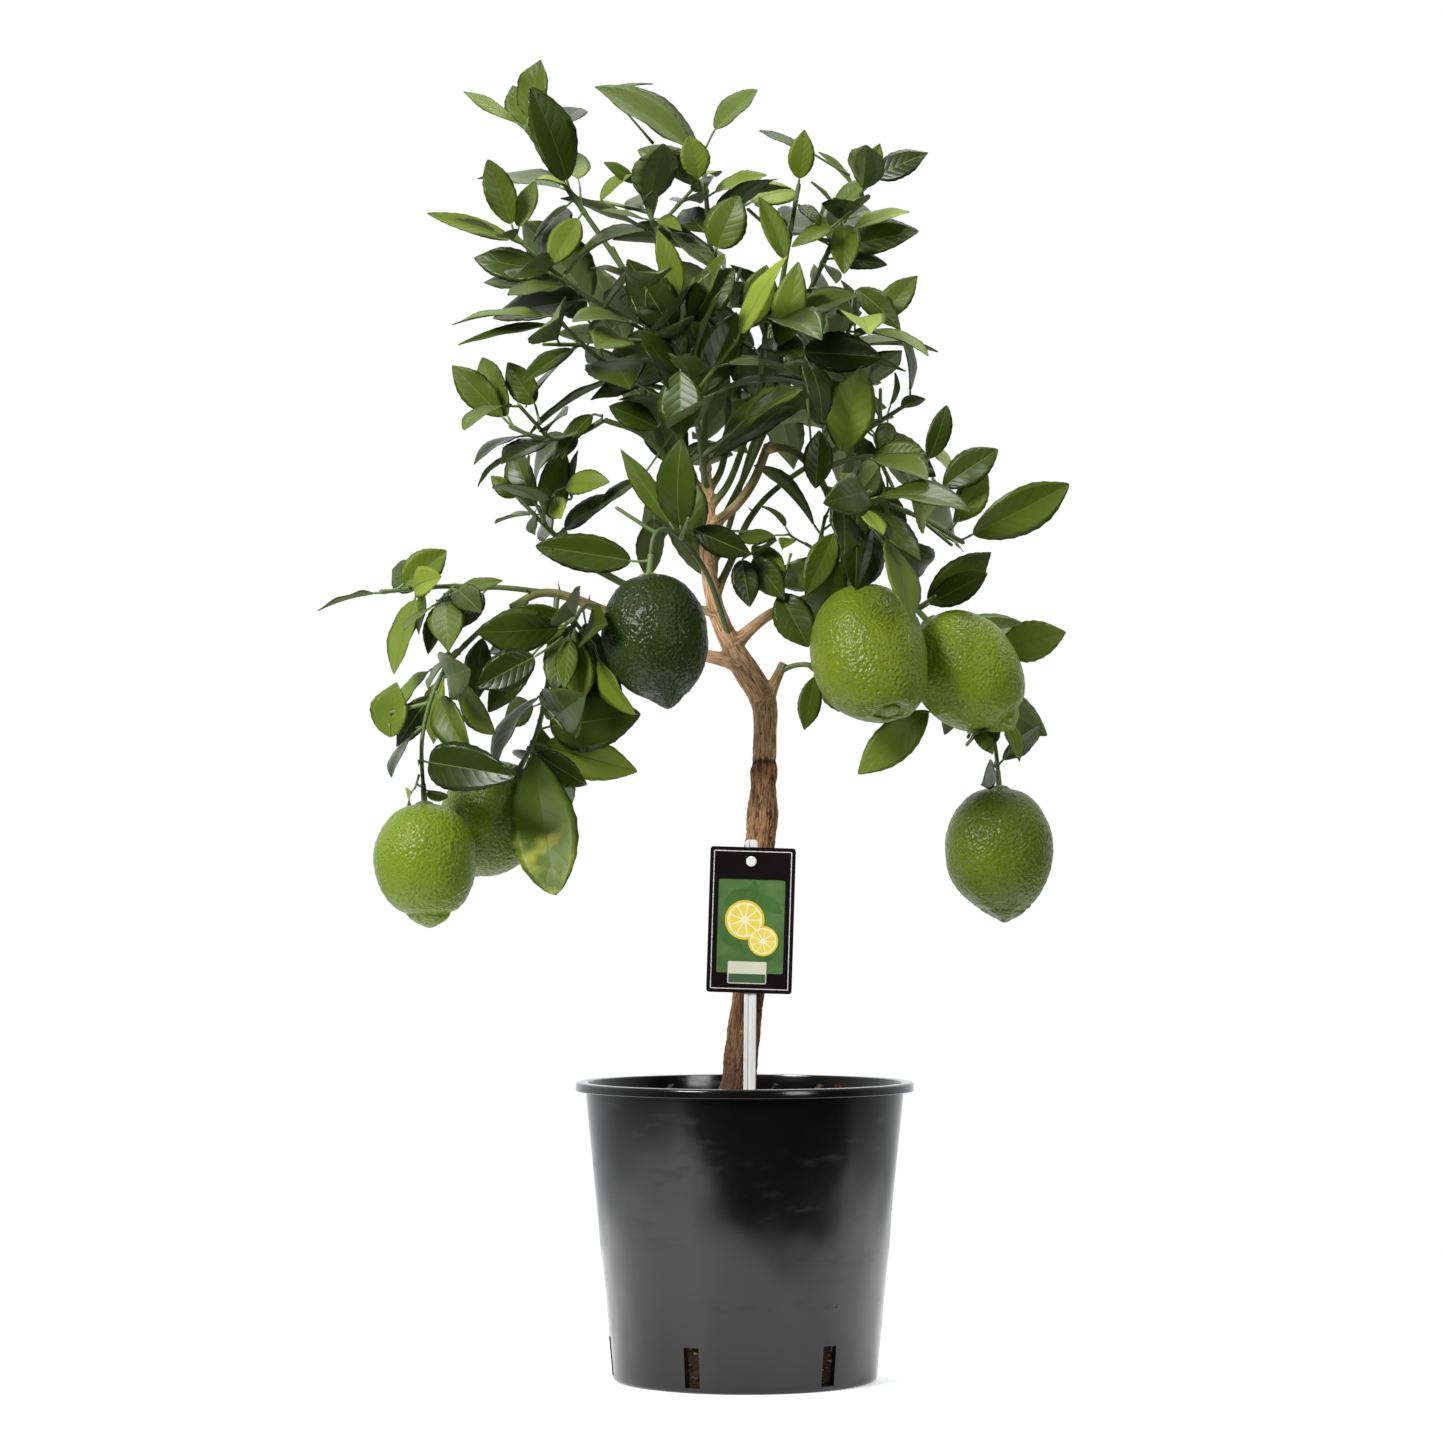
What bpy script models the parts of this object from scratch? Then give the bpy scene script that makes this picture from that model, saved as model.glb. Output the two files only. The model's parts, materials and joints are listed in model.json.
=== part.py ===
"""Potted lemon tree: a young grafted tree with green fruit in a black nursery pot.

Run it with  blender --background --python part.py  or from Blender's text editor.
Lengths are in metres. +Z is up, -Y is the front, and the origin is the middle of the pot's underside.
"""

import math
import random
from collections import namedtuple

import bmesh
import bpy
from mathutils import Matrix, Vector
from mathutils.bvhtree import BVHTree

MM = 0.001
UP = Vector((0, 0, 1))
GAP = 0.3 * MM

# Pot
POT_HEIGHT = 188.5 * MM
FOOT_RADIUS = 84.0 * MM
NECK_RADIUS = 101.4 * MM
RIM_RADIUS = 107.8 * MM
POT_WALL = 2.0 * MM
LIP_DROP = 5.5 * MM
LIP_WALL = 1.6 * MM
FOOT_ROUNDING = 3.0 * MM
POT_SIDES = 40
SLOTS = 6
SLOT_TURN = math.radians(-22.5)
SLOT_WIDTH = 10.0 * MM
SLOT_LOW = 3.5 * MM
SLOT_HIGH = 28.5 * MM

# Compost, trunk and boughs
SOIL_TOP = 176.0 * MM
SOIL_SIDES = 20
TRUNK_SIDES = 12
LIMB_SIDES = 6
PATH_STEP = 22 * MM
TRIM_STEPS = 60
SHORTEST_PIECE = 0.3

# Plant label on its stem
CARD_SIZE = (54.0 * MM, 92.0 * MM)
CARD_THICK = 0.8 * MM
CARD_CENTRE = Vector((4.0, -29.6, 291.7)) * MM
CARD_LEAN = math.radians(1.8)
CARD_BOW = 1.5 * MM
CARD_STRIPS = 6
STRIP_SIZE = (7.8 * MM, 1.8 * MM)
STRIP_FOOT = Vector((2.4, -28.0, 120.0)) * MM
STRIP_LENGTH = 222.5 * MM
STRIP_LEAN = math.radians(0.5)
STUD_HEIGHT = 328.8 * MM
STUD_RADIUS = 2.4 * MM
STUD_HEAD = (3.3 * MM, 1.0 * MM)
STUD_SIDES = 12
STUD_SUNK = 0.2 * MM

# Twigs: angles in degrees, and parts of a length as shares
GOLDEN = math.radians(137.5)
STEM_STEPS = 4
STEM_RADII = (1.9 * MM, 1.3 * MM)
SHOOT_STEPS = 1
SHOOT_RADII = (1.4 * MM, 1.1 * MM)
SHOOT_SPREAD = (38, 62)
SHOOT_LENGTHS = (0.7, 1.15)
SHOOT_SAG = 0.08
LAST_SHOOT = 0.86
TWIG_CLEAR = 0.8 * MM
TRIES = 8

# Leaves
FIRST_LEAF = 0.12
LAST_LEAF = 0.97
INTERNODE = 17 * MM
PETIOLE = 9 * MM
PETIOLE_LENGTHS = (0.7, 1.15)
PETIOLE_SHARE = 0.16
STALK_HALF = 0.5 * MM
LEAF_LENGTHS = (0.72, 1.18)
LEAF_WIDTHS = (0.44, 0.56)
LEAF_BEND = (8, 46)
LEAF_FOLD = (4, 20)
LEAF_ROLL = 35
LEAF_SPREAD = (38, 68)
TIP_SPREAD = (5, 20)
OUTER_BEND = (10, 32)
OUTER_FOLD = (3, 16)
OUTER_ROLL = 25
OUTER_SWING = 18 * MM
FACET_PLACES = (0, 0.27, 0.68)
FACET_WIDEN = 1.1
KEEL = 0.024
JOINED_PART = 0.3
LEAF_CLEAR = 1.0 * MM
BACK_HALF = 35 * MM
CROWN_HEART = Vector((-20, 0, 560)) * MM
EYE = Vector((0, -2560, 311)) * MM

# Fruit: its outline as (share of the half width, share of the length)
FRUIT_SIDES = 8
FRUIT_SINK = 3 * MM
FRUIT_OUTLINE = ((0.34, 0.012), (0.76, 0.13), (1.0, 0.42), (0.86, 0.70), (0.46, 0.885), (0.17, 0.95))

Limb = namedtuple("Limb", "name parent points radii")
Spray = namedtuple("Spray", "name parent at tip arch shoots shoot leaf bare take")
Fruit = namedtuple("Fruit", "centre axis width length")
Leaf = namedtuple("Leaf", "base turn petiole length width bend fold")
Twig = namedtuple("Twig", "path radii")

# Each limb's way in millimetres from the axis of its bearer, and its radius at each point or at its ends.
LIMBS = [
    Limb(
        "trunk", None,
        [
            (-6, 0, 176.3), (-4.3, 0, 186), (-1, 0, 215), (6.6, 0, 285), (11, 0, 336), (12, 0, 375),
            (13, 0, 411), (11.5, 0, 433), (-5, 0, 461), (-18, 0, 490), (-24, 0, 525), (-23, 0, 557),
            (-25, 0, 580),
        ],
        [13.5, 11.6, 10.8, 9.9, 9.6, 8.6, 7.4, 8.3, 7.0, 5.6, 4.8, 4.3, 3.4],
    ),
    Limb("cut_stub", "trunk", [(12, 0, 429), (18, -1, 441), (25, -2, 456)], [4.4, 2.9]),
    Limb(
        "left_bough", "trunk",
        [(-3, 0, 456), (-40, 8, 466), (-88, 4, 489), (-126, -4, 501), (-150, -10, 491)], [4.4, 2.4],
    ),
    Limb(
        "right_bough", "trunk",
        [(-8, 0, 467), (17, 6, 488), (52, 14, 501), (80, 8, 500), (106, -6, 492)], [4.0, 2.4],
    ),
    Limb("left_low_limb", "trunk", [(-18, 0, 488), (-45, 14, 496), (-72, 14, 505), (-95, 8, 516)], [2.6, 1.9]),
    Limb(
        "upper_right_limb", "trunk",
        [(-19, 0, 500), (-8, 12, 524), (4, 22, 552), (27, 28, 576), (83, 36, 612)], [2.8, 1.7],
    ),
    Limb("back_right_limb", "trunk", [(-23, 0, 520), (-14, 24, 534), (4, 78, 602)], [2.6, 1.8]),
    Limb(
        "crown_outer_limb", "trunk",
        [(-24, 0, 534), (-14, 11, 550), (6, 25, 592), (27, 32, 645), (37, 30, 700)], [2.6, 1.7],
    ),
    Limb("back_left_limb", "trunk", [(-24, 0, 541), (-38, 20, 556), (-66, 68, 628)], [2.6, 1.8]),
    Limb("arch_rise", "trunk", [(-23, 0, 543), (-6, -8, 556), (6, -16, 572), (15, -24, 594)], [3.4, 2.9]),
    Limb(
        "arch_fall", "arch_rise",
        [(15, -24, 592), (29, -30, 590), (42, -36, 579), (50, -40, 566), (55, -44, 553)], [2.9, 2.2],
    ),
    Limb(
        "left_mid_limb", "trunk",
        [(-24, 0, 552), (-38, -5, 572), (-64, -10, 601), (-90, -14, 611)], [2.6, 1.9],
    ),
    Limb(
        "crown_far_limb", "trunk",
        [(-23, 0, 556), (-10, -2, 572), (3, 1, 608), (15, 6, 650), (24, 12, 698)], [2.6, 1.7],
    ),
    Limb(
        "crown_left_limb", "trunk",
        [(-24, 0, 563), (-34, 6, 577), (-43, 8, 606), (-55, 9, 655), (-70, 10, 695), (-86, 8, 726)], [2.9, 1.7],
    ),
    Limb(
        "crown_right_limb", "trunk",
        [(-24, 0, 566), (-15, 9, 582), (-11, 15, 610), (-12, 18, 655), (-20, 14, 697)], [2.6, 1.7],
    ),
    Limb(
        "crown_centre_limb", "trunk",
        [(-25, 0, 580), (-26, -2, 600), (-28, -4, 640), (-38, 0, 680), (-57, 6, 728)], [3.0, 1.7],
    ),
]

# Each fruit's middle in millimetres, its way from stalk to nipple, and its size. It ends the mass of its name.
FRUITS = {
    "left_hanging": Fruit((-204.6, -42, 333), (0.02, 0, -1), 65, 81),
    "left_inner": Fruit((-166, 16, 355), (-0.5, 0.25, -0.83), 66, 82),
    "dark_fruit": Fruit((-56, -66, 465), (0.12, -0.1, -1), 67, 86),
    "front_fruit": Fruit((77, -48, 459), (0.1, -0.25, -1), 72, 87),
    "side_fruit": Fruit((143, -14, 451), (0.62, -0.05, -0.8), 66, 82),
    "low_fruit": Fruit((162, 20, 336), (-0.03, 0, -1), 67, 86),
}

# Each mass: the limb that bears it and the share of its way there, its stem's tip and arch in millimetres,
# its side shoots and their length, its leaves' length, the bare share of its stem, and its throw of the dice.
SPRAYS = [
    Spray("top_left", "crown_left_limb", 1.0, (-142, 2, 803), (0, 0, 0), 1, 32, 58, 0.3, 1),
    Spray("left_high", "crown_left_limb", 0.66, (-149, -8, 732), (0, 0, -8), 1, 34, 54, 0.35, 1),
    Spray("left_shoulder", "crown_left_limb", 0.4, (-122, -24, 678), (0, 0, -10), 2, 34, 58, 0.3, 1),
    Spray("left_mid", "left_mid_limb", 1.0, (-150, -14, 607), (0, 0, -10), 1, 34, 54, 0.3, 1),
    Spray("left_low", "left_low_limb", 1.0, (-145, 2, 562), (0, 0, -6), 1, 34, 52, 0.3, 1),
    Spray("left_tip", "left_bough", 1.0, (-232, -22, 500), (0, 0, 4), 1, 24, 46, 0.2, 1),
    Spray("left_hanging", "left_bough", 0.92, None, (-14, -4, 16), 2, 34, 54, 0.15, 1),
    Spray("left_inner", "left_bough", 0.78, None, (4, -8, -4), 1, 30, 60, 0.5, 1),
    Spray("left_cover", "left_bough", 0.62, (-110, -38, 474), (0, 0, 6), 2, 34, 58, 0.3, 1),
    Spray("dark_fruit", "trunk", 0.72, None, (0, -12, 44), 2, 30, 54, 0.45, 1),
    Spray("core_front", "trunk", 0.97, (-34, -70, 640), (0, -8, -4), 4, 44, 62, 0.2, 1),
    Spray("core_left", "crown_centre_limb", 0.35, (-72, -54, 668), (0, 0, 4), 4, 42, 62, 0.2, 1),
    Spray("core_right", "crown_far_limb", 0.5, (14, -52, 668), (0, 0, 4), 4, 44, 62, 0.2, 1),
    Spray("top_centre", "crown_centre_limb", 1.0, (-68, 0, 764), (0, 0, 2), 3, 36, 60, 0.2, 1),
    Spray("top_mid", "crown_right_limb", 1.0, (-27, 4, 784), (0, 0, 2), 2, 36, 56, 0.2, 1),
    Spray("top_inner", "crown_far_limb", 1.0, (35, 0, 765), (0, 0, 2), 1, 34, 54, 0.3, 1),
    Spray("top_right", "crown_outer_limb", 1.0, (78, 22, 772), (0, 0, 2), 1, 34, 56, 0.2, 1),
    Spray("right_high", "crown_outer_limb", 0.62, (84, 6, 672), (0, 0, 6), 2, 36, 60, 0.2, 1),
    Spray("right_shoulder", "upper_right_limb", 1.0, (108, 22, 627), (0, 0, 0), 1, 30, 54, 0.2, 1),
    Spray("right_out", "arch_fall", 0.6, (119, -32, 576), (0, 0, 10), 2, 34, 58, 0.4, 1),
    Spray("right_out_low", "arch_fall", 0.8, (139, -26, 531), (0, 0, 6), 1, 30, 58, 0.55, 1),
    Spray("right_cover", "arch_fall", 0.92, (86, -76, 534), (0, 0, 6), 3, 34, 54, 0.15, 1),
    Spray("front_fruit", "arch_fall", 1.0, None, (0, 0, -4), 1, 26, 50, 0.2, 1),
    Spray("side_fruit", "right_bough", 1.0, None, (0, 0, 2), 2, 30, 52, 0.1, 1),
    Spray("low_fruit", "right_bough", 0.86, None, (8, 34, 10), 1, 30, 48, 0.3, 1),
    Spray("low_right", "cut_stub", 0.6, (46, -8, 453), (0, 0, 3), 1, 22, 46, 0.6, 1),
    Spray("right_inner", "right_bough", 0.42, (50, -14, 536), (0, 0, 4), 2, 30, 50, 0.4, 1),
    Spray("back_right", "back_right_limb", 1.0, (30, 112, 650), (0, 0, 6), 4, 42, 60, 0.15, 1),
    Spray("back_left", "back_left_limb", 1.0, (-78, 104, 682), (0, 0, 6), 4, 42, 60, 0.15, 1),
    Spray("back_top", "crown_right_limb", 0.5, (-14, 78, 730), (0, 0, 6), 4, 40, 58, 0.2, 1),
    Spray("back_outer", "upper_right_limb", 0.7, (78, 86, 650), (0, 0, 6), 3, 40, 58, 0.2, 1),
    Spray("back_low", "back_left_limb", 0.4, (-44, 98, 590), (0, 0, 4), 3, 38, 52, 0.3, 1),
]

# The leaves that draw the crown's outline: the share of the mass's stem where each springs, and its tip in
# millimetres.
OUTER_LEAVES = {
    "top_left": [
        (0.97, (-131, -6, 845)), (0.97, (-181, 4, 827)), (0.9, (-152, 16, 834)),
        (0.45, (-134, -22, 826)), (0.4, (-137, 12, 730)), (0.3, (-121, -14, 706)),
    ],
    "left_high": [
        (0.97, (-163, -16, 779)), (0.97, (-133, 2, 767)), (0.9, (-205, -6, 744)),
        (0.8, (-125, -26, 705)), (0.6, (-175, 8, 718)),
    ],
    "left_shoulder": [(0.97, (-187, -20, 671)), (0.9, (-182, -36, 655)), (0.7, (-140, -42, 629))],
    "left_mid": [(0.97, (-189, -10, 645)), (0.95, (-170, 8, 653)), (0.3, (-113, -38, 582))],
    "left_low": [
        (0.97, (-164, 6, 577)), (0.55, (-110, -10, 595)),
        (0.5, (-80, -14, 562)), (0.8, (-133, -16, 536)),
    ],
    "left_tip": [
        (0.9, (-189, -22, 526)), (0.8, (-196, -38, 514)), (0.75, (-221, -40, 446)),
        (0.7, (-209, -8, 474)), (0.35, (-153, -30, 510)), (0.3, (-185, -36, 470)),
    ],
    "left_hanging": [
        (0.8, (-240, -26, 434)), (0.85, (-140, -78, 383)),
        (0.5, (-222, -14, 402)), (0.7, (-222, -66, 378)),
    ],
    "left_inner": [
        (0.8, (-113, -52, 310)), (0.72, (-66, -12, 428)), (0.8, (-68, 10, 388)),
        (0.84, (-100, -20, 376)), (0.6, (-106, -14, 450)),
    ],
    "left_cover": [(0.97, (-112, -56, 436)), (0.9, (-170, -58, 472)), (0.8, (-148, -34, 487))],
    "dark_fruit": [(0.8, (-135, -48, 535)), (0.75, (-127, -24, 545)), (0.6, (-78, -40, 590))],
    "top_mid": [
        (0.97, (-96, -14, 828)), (0.95, (-70, 14, 839)), (0.93, (8, -4, 823)), (0.85, (-28, -30, 752)),
    ],
    "top_centre": [(0.97, (-91, -8, 778)), (0.9, (-64, 22, 786))],
    "top_inner": [
        (0.97, (37, -10, 799)), (0.9, (8, 6, 801)), (0.85, (49, -8, 735)), (0.6, (5, -22, 748)),
    ],
    "top_right": [
        (0.97, (120, 16, 787)), (0.97, (94, 28, 799)), (0.9, (48, 20, 790)), (0.8, (86, 0, 770)),
        (0.4, (113, 10, 734)), (0.35, (93, 30, 715)), (0.45, (29, -6, 732)), (0.3, (62, -2, 698)),
    ],
    "right_high": [(0.97, (111, 10, 708)), (0.8, (60, -14, 700))],
    "right_shoulder": [(0.97, (97, 8, 672))],
    "right_out": [(0.93, (128, -38, 618)), (0.97, (162, -34, 591)), (0.4, (112, -48, 588))],
    "right_out_low": [(0.97, (207, -28, 567)), (0.85, (154, -12, 576))],
    "side_fruit": [(0.3, (156, -18, 512)), (0.2, (158, 14, 530))],
    "low_fruit": [(0.55, (207, 24, 478)), (0.6, (69, 8, 388)), (0.9, (192, 8, 418))],
    "low_right": [(0.97, (37, -22, 412))],
}

# Where the sky shows between the leaves from the front: each gap's middle (x, z) and radius in millimetres.
SKY = [
    (-90, 602, 22), (-87, 545, 18), (126, 686, 22), (6, 500, 14), (-2, 782, 14), (-150, 645, 10),
    (-48, 505, 10),
]


def clear_scene():
    for old in list(bpy.data.objects):
        bpy.data.objects.remove(old, do_unlink=True)


def material(name, colour, roughness, metallic=0.0):
    made = bpy.data.materials.new(name)
    made.use_nodes = True
    shader = made.node_tree.nodes["Principled BSDF"]
    shader.inputs["Base Color"].default_value = (*colour, 1)
    shader.inputs["Roughness"].default_value = roughness
    shader.inputs["Metallic"].default_value = metallic
    made.diffuse_color = (*colour, 1)
    return made


def solid(name, shape, materials, slot=0, smooth_under=None):
    """An object from points and faces, its faces turned outwards."""
    mesh = bpy.data.meshes.new(name)
    mesh.from_pydata(shape[0], [], shape[1])
    body = bmesh.new()
    body.from_mesh(mesh)
    bmesh.ops.recalc_face_normals(body, faces=body.faces)
    body.to_mesh(mesh)
    body.free()
    for each in materials:
        mesh.materials.append(each)
    for face in mesh.polygons:
        face.material_index = slot
    if smooth_under is not None:
        mesh.shade_smooth()
        mesh.set_sharp_from_angle(angle=math.radians(smooth_under))
    made = bpy.data.objects.new(name, mesh)
    bpy.context.scene.collection.objects.link(made)
    return made


def through(points, radii, step=PATH_STEP):
    """A smooth path through points in millimetres, with its radius at each place."""
    points = [Vector(p) * MM for p in points]
    if len(radii) == 2:
        radii = [radii[0] + (radii[1] - radii[0]) * i / (len(points) - 1) for i in range(len(points))]
    ends = [2 * points[0] - points[1], *points, 2 * points[-1] - points[-2]]
    path, widths = [], []
    for i in range(len(points) - 1):
        a, b, c, d = ends[i : i + 4]
        pieces = max(1, round((c - b).length / step))
        for k in range(pieces):
            t = k / pieces
            square, cube = 2 * a - 5 * b + 4 * c - d, 3 * b - a - 3 * c + d
            path.append(0.5 * (2 * b + (c - a) * t + square * t * t + cube * t**3))
            widths.append((radii[i] + (radii[i + 1] - radii[i]) * t) * MM)
    return [*path, points[-1]], [*widths, radii[-1] * MM]


def along(path, share):
    """The point at this share of a path's length, and the path's direction there."""
    left = share * sum((b - a).length for a, b in zip(path, path[1:]))
    for a, b in zip(path, path[1:]):
        piece = (b - a).length
        if left <= piece:
            break
        left -= piece
    return a.lerp(b, min(left / piece, 1)), (b - a).normalized()


def curve(start, leave, arrive, end, steps):
    """A path from start to end that sets off towards leave and comes in from arrive."""
    return [
        start * (1 - t) ** 3 + leave * (3 * t * (1 - t) ** 2) + arrive * (3 * t * t * (1 - t)) + end * t**3
        for t in (k / steps for k in range(steps + 1))
    ]


def square_to(direction):
    """Two directions square to this one, the first the upper one."""
    lean = Vector((0, -1, 0)) if abs(direction.z) > 0.95 else UP
    first = (lean - direction * lean.dot(direction)).normalized()
    return first, direction.cross(first)


def tapered(radii, steps):
    return [radii[0] + (radii[1] - radii[0]) * k / steps for k in range(steps + 1)]


def tube(path, radii, sides):
    """Points and faces of a closed tube along a path."""
    points, faces = [], []
    first = square_to((path[1] - path[0]).normalized())[0]
    for i, (place, radius) in enumerate(zip(path, radii)):
        ahead = (path[min(i + 1, len(path) - 1)] - path[max(i - 1, 0)]).normalized()
        first = (first - ahead * first.dot(ahead)).normalized()
        second = ahead.cross(first)
        for k in range(sides):
            turn = math.tau * k / sides
            points.append(place + (first * math.cos(turn) + second * math.sin(turn)) * radius)
    for i in range(len(path) - 1):
        for k in range(sides):
            here, beside = i * sides + k, i * sides + (k + 1) % sides
            faces.append((here, beside, beside + sides, here + sides))
    last = (len(path) - 1) * sides
    faces.append(tuple(reversed(range(sides))))
    faces.append(tuple(range(last, last + sides)))
    return points, faces


def tree_of(shape):
    return BVHTree.FromPolygons([tuple(p) for p in shape[0]], shape[1])


def outside(point, tree, clear=0.0):
    """Whether the point is outside the closed shape, and this far from it."""
    place, normal, _, distance = tree.find_nearest(point)
    return (point - place).dot(normal) > 0 and distance >= clear


def trimmed(path, radii, sides, bearer):
    """The path and radii without their start, cut where a tube first clears the limb that bears it."""
    for i in range((len(path) - 1) * TRIM_STEPS):
        whole, part = divmod(i, TRIM_STEPS)
        share = part / TRIM_STEPS
        ahead = whole + (2 if 1 - share < SHORTEST_PIECE and whole + 2 < len(path) else 1)
        way = [path[whole].lerp(path[whole + 1], share), *path[ahead:]]
        widths = [radii[whole] + (radii[whole + 1] - radii[whole]) * share, *radii[ahead:]]
        if all(outside(p, bearer, GAP) for p in tube(way, widths, sides)[0]):
            if not tree_of(tube(way, [width + GAP for width in widths], sides)).overlap(bearer):
                return way, widths
    raise ValueError("a path never leaves the limb that bears it")


def half_width(share):
    """A leaf's half width at a share of its blade, as a part of the greatest one."""
    return math.sin(math.pi * share**0.88) ** 0.78 if 0 < share < 1 else 0.0


def on_leaf(leaf, share, side=0.0, lift=0.0):
    """The place at a share of a leaf's blade, this far to the side of its midrib and above it.

    The straight stalk runs from share -1, at the twig, to share 0.
    """
    turned = leaf.bend * max(share, 0)
    raised = lift + abs(side) * math.tan(leaf.fold)
    radius = leaf.length / leaf.bend
    forward = leaf.petiole * min(1 + share, 1) + (radius + raised) * math.sin(turned)
    upward = raised * math.cos(turned) - radius * (1 - math.cos(turned))
    return leaf.base + leaf.turn @ Vector((forward, side, upward))


def leaf_shape(leaf, swell=0.0, start=-1.0):
    """A leaf as a thin three-edged solid: its left edge, right edge and keel at four places, and its tip."""
    points = []
    for share in (start, *FACET_PLACES):
        half = max(half_width(share) * leaf.width / 2 * FACET_WIDEN, STALK_HALF)
        keel = KEEL * leaf.length if share > 0 else STALK_HALF
        points.append(on_leaf(leaf, share, half + swell, swell))
        points.append(on_leaf(leaf, share, -half - swell, swell))
        points.append(on_leaf(leaf, share, 0, -keel - swell))
    points.append(on_leaf(leaf, 1 + swell / leaf.length))
    faces = [(0, 1, 2), (9, 12, 10), (10, 12, 11), (11, 12, 9)]
    for ring in (0, 3, 6):
        for k in range(3):
            a, b = ring + k, ring + (k + 1) % 3
            faces.append((a, a + 3, b + 3, b))
    return points, faces


def hides_sky(leaf):
    """Whether a leaf would cover one of the crown's gaps, seen from the front."""
    for share in (0, 0.25, 0.5, 0.75, 1):
        for side in (-1, 0, 1):
            ray = on_leaf(leaf, share, side * half_width(share) * leaf.width / 2) - EYE
            seen = EYE - ray * EYE.y / ray.y
            if any(math.hypot(seen.x - x * MM, seen.z - z * MM) < radius * MM for x, z, radius in SKY):
                return True
    return False


def fruit_shape(fruit):
    """A lemon: a lathed body that narrows to a nipple."""
    axis = Vector(fruit.axis).normalized()
    first, second = square_to(axis)
    half, length = fruit.width * MM / 2, fruit.length * MM
    top = Vector(fruit.centre) * MM - axis * length / 2
    points = [top]
    for radius, depth in FRUIT_OUTLINE:
        for k in range(FRUIT_SIDES):
            turn = math.tau * k / FRUIT_SIDES
            outward = first * math.cos(turn) + second * math.sin(turn)
            points.append(top + axis * depth * length + outward * radius * half)
    points.append(top + axis * length)
    faces = []
    lowest = 1 + (len(FRUIT_OUTLINE) - 1) * FRUIT_SIDES
    for k in range(FRUIT_SIDES):
        after = (k + 1) % FRUIT_SIDES
        faces.append((0, 1 + after, 1 + k))
        faces.append((lowest + k, lowest + after, len(points) - 1))
        for ring in range(1, lowest, FRUIT_SIDES):
            a, b = ring + k, ring + after
            faces.append((a, b, b + FRUIT_SIDES, a + FRUIT_SIDES))
    return points, faces


def grown_stem(spray, limbs, trees):
    """A mass's own stem, from its limb to its stated tip or into its fruit, cut clear of the limb."""
    start, _ = along(limbs[spray.parent][0], spray.at)
    arch = Vector(spray.arch) * MM * 4 / 3
    if spray.tip:
        end = Vector(spray.tip) * MM
        leave, arrive = start.lerp(end, 1 / 3) + arch, start.lerp(end, 2 / 3) + arch
    else:
        fruit = FRUITS[spray.name]
        axis = Vector(fruit.axis).normalized()
        end = Vector(fruit.centre) * MM - axis * (fruit.length * MM / 2 - FRUIT_SINK)
        leave, arrive = start.lerp(end, 1 / 3) + arch, end - axis * (end - start).length / 3 + arch / 2
    way = curve(start, leave, arrive, end, STEM_STEPS)
    return Twig(*trimmed(way, tapered(STEM_RADII, STEM_STEPS), 3, trees[spray.parent]))


def grown_shoots(spray, stem, rng, fits):
    """The side shoots that the rule sets round a stem, where there is room."""
    shoots = []
    turn = rng.uniform(0, math.tau)
    for i in range(spray.shoots):
        share = spray.bare + (LAST_SHOOT - spray.bare) * (i + rng.uniform(0.2, 0.8)) / spray.shoots
        start, heading = along(stem.path, share)
        first, second = square_to(heading)
        turn += GOLDEN
        for _ in range(TRIES):
            round_stem = turn + rng.uniform(-0.5, 0.5)
            outward = first * math.cos(round_stem) + second * math.sin(round_stem)
            spread = math.radians(rng.uniform(*SHOOT_SPREAD))
            reach = heading * math.cos(spread) + outward * math.sin(spread)
            reach = reach * spray.shoot * MM * rng.uniform(*SHOOT_LENGTHS)
            sag = UP * -SHOOT_SAG * reach.length
            path = curve(start, start + reach / 3 + sag, start + reach * 2 / 3 + sag, start + reach, SHOOT_STEPS)
            shoot = Twig(path, tapered(SHOOT_RADII, SHOOT_STEPS))
            if fits(shoot):
                shoots.append(shoot)
                break
    return shoots


def leaf_at(start, heading, turn, spread, size, rng):
    """A leaf that leaves a twig at a turn round it, its upper face towards the light."""
    first, second = square_to(heading)
    outward = first * math.cos(turn) + second * math.sin(turn)
    way = heading * math.cos(spread) + outward * math.sin(spread)
    way = (way - UP * rng.uniform(-0.1, 0.5)).normalized()
    away = (start - CROWN_HEART).normalized()
    side = Vector((0, -1 if start.y < BACK_HALF else 1, 0))
    face = UP * rng.uniform(0.1, 0.8) + away * rng.uniform(0.3, 0.9) + side * rng.uniform(0, 1.0)
    face = (face - way * face.dot(way)).normalized()
    turned = Matrix((way, face.cross(way), face)).transposed()
    turned = turned @ Matrix.Rotation(math.radians(rng.uniform(-LEAF_ROLL, LEAF_ROLL)), 3, "X")
    length = size * rng.uniform(*LEAF_LENGTHS)
    petiole = PETIOLE * rng.uniform(*PETIOLE_LENGTHS)
    width = length * rng.uniform(*LEAF_WIDTHS)
    bend, fold = rng.uniform(*LEAF_BEND), rng.uniform(*LEAF_FOLD)
    return Leaf(start, turned, petiole, length, width, math.radians(bend), math.radians(fold))


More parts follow.
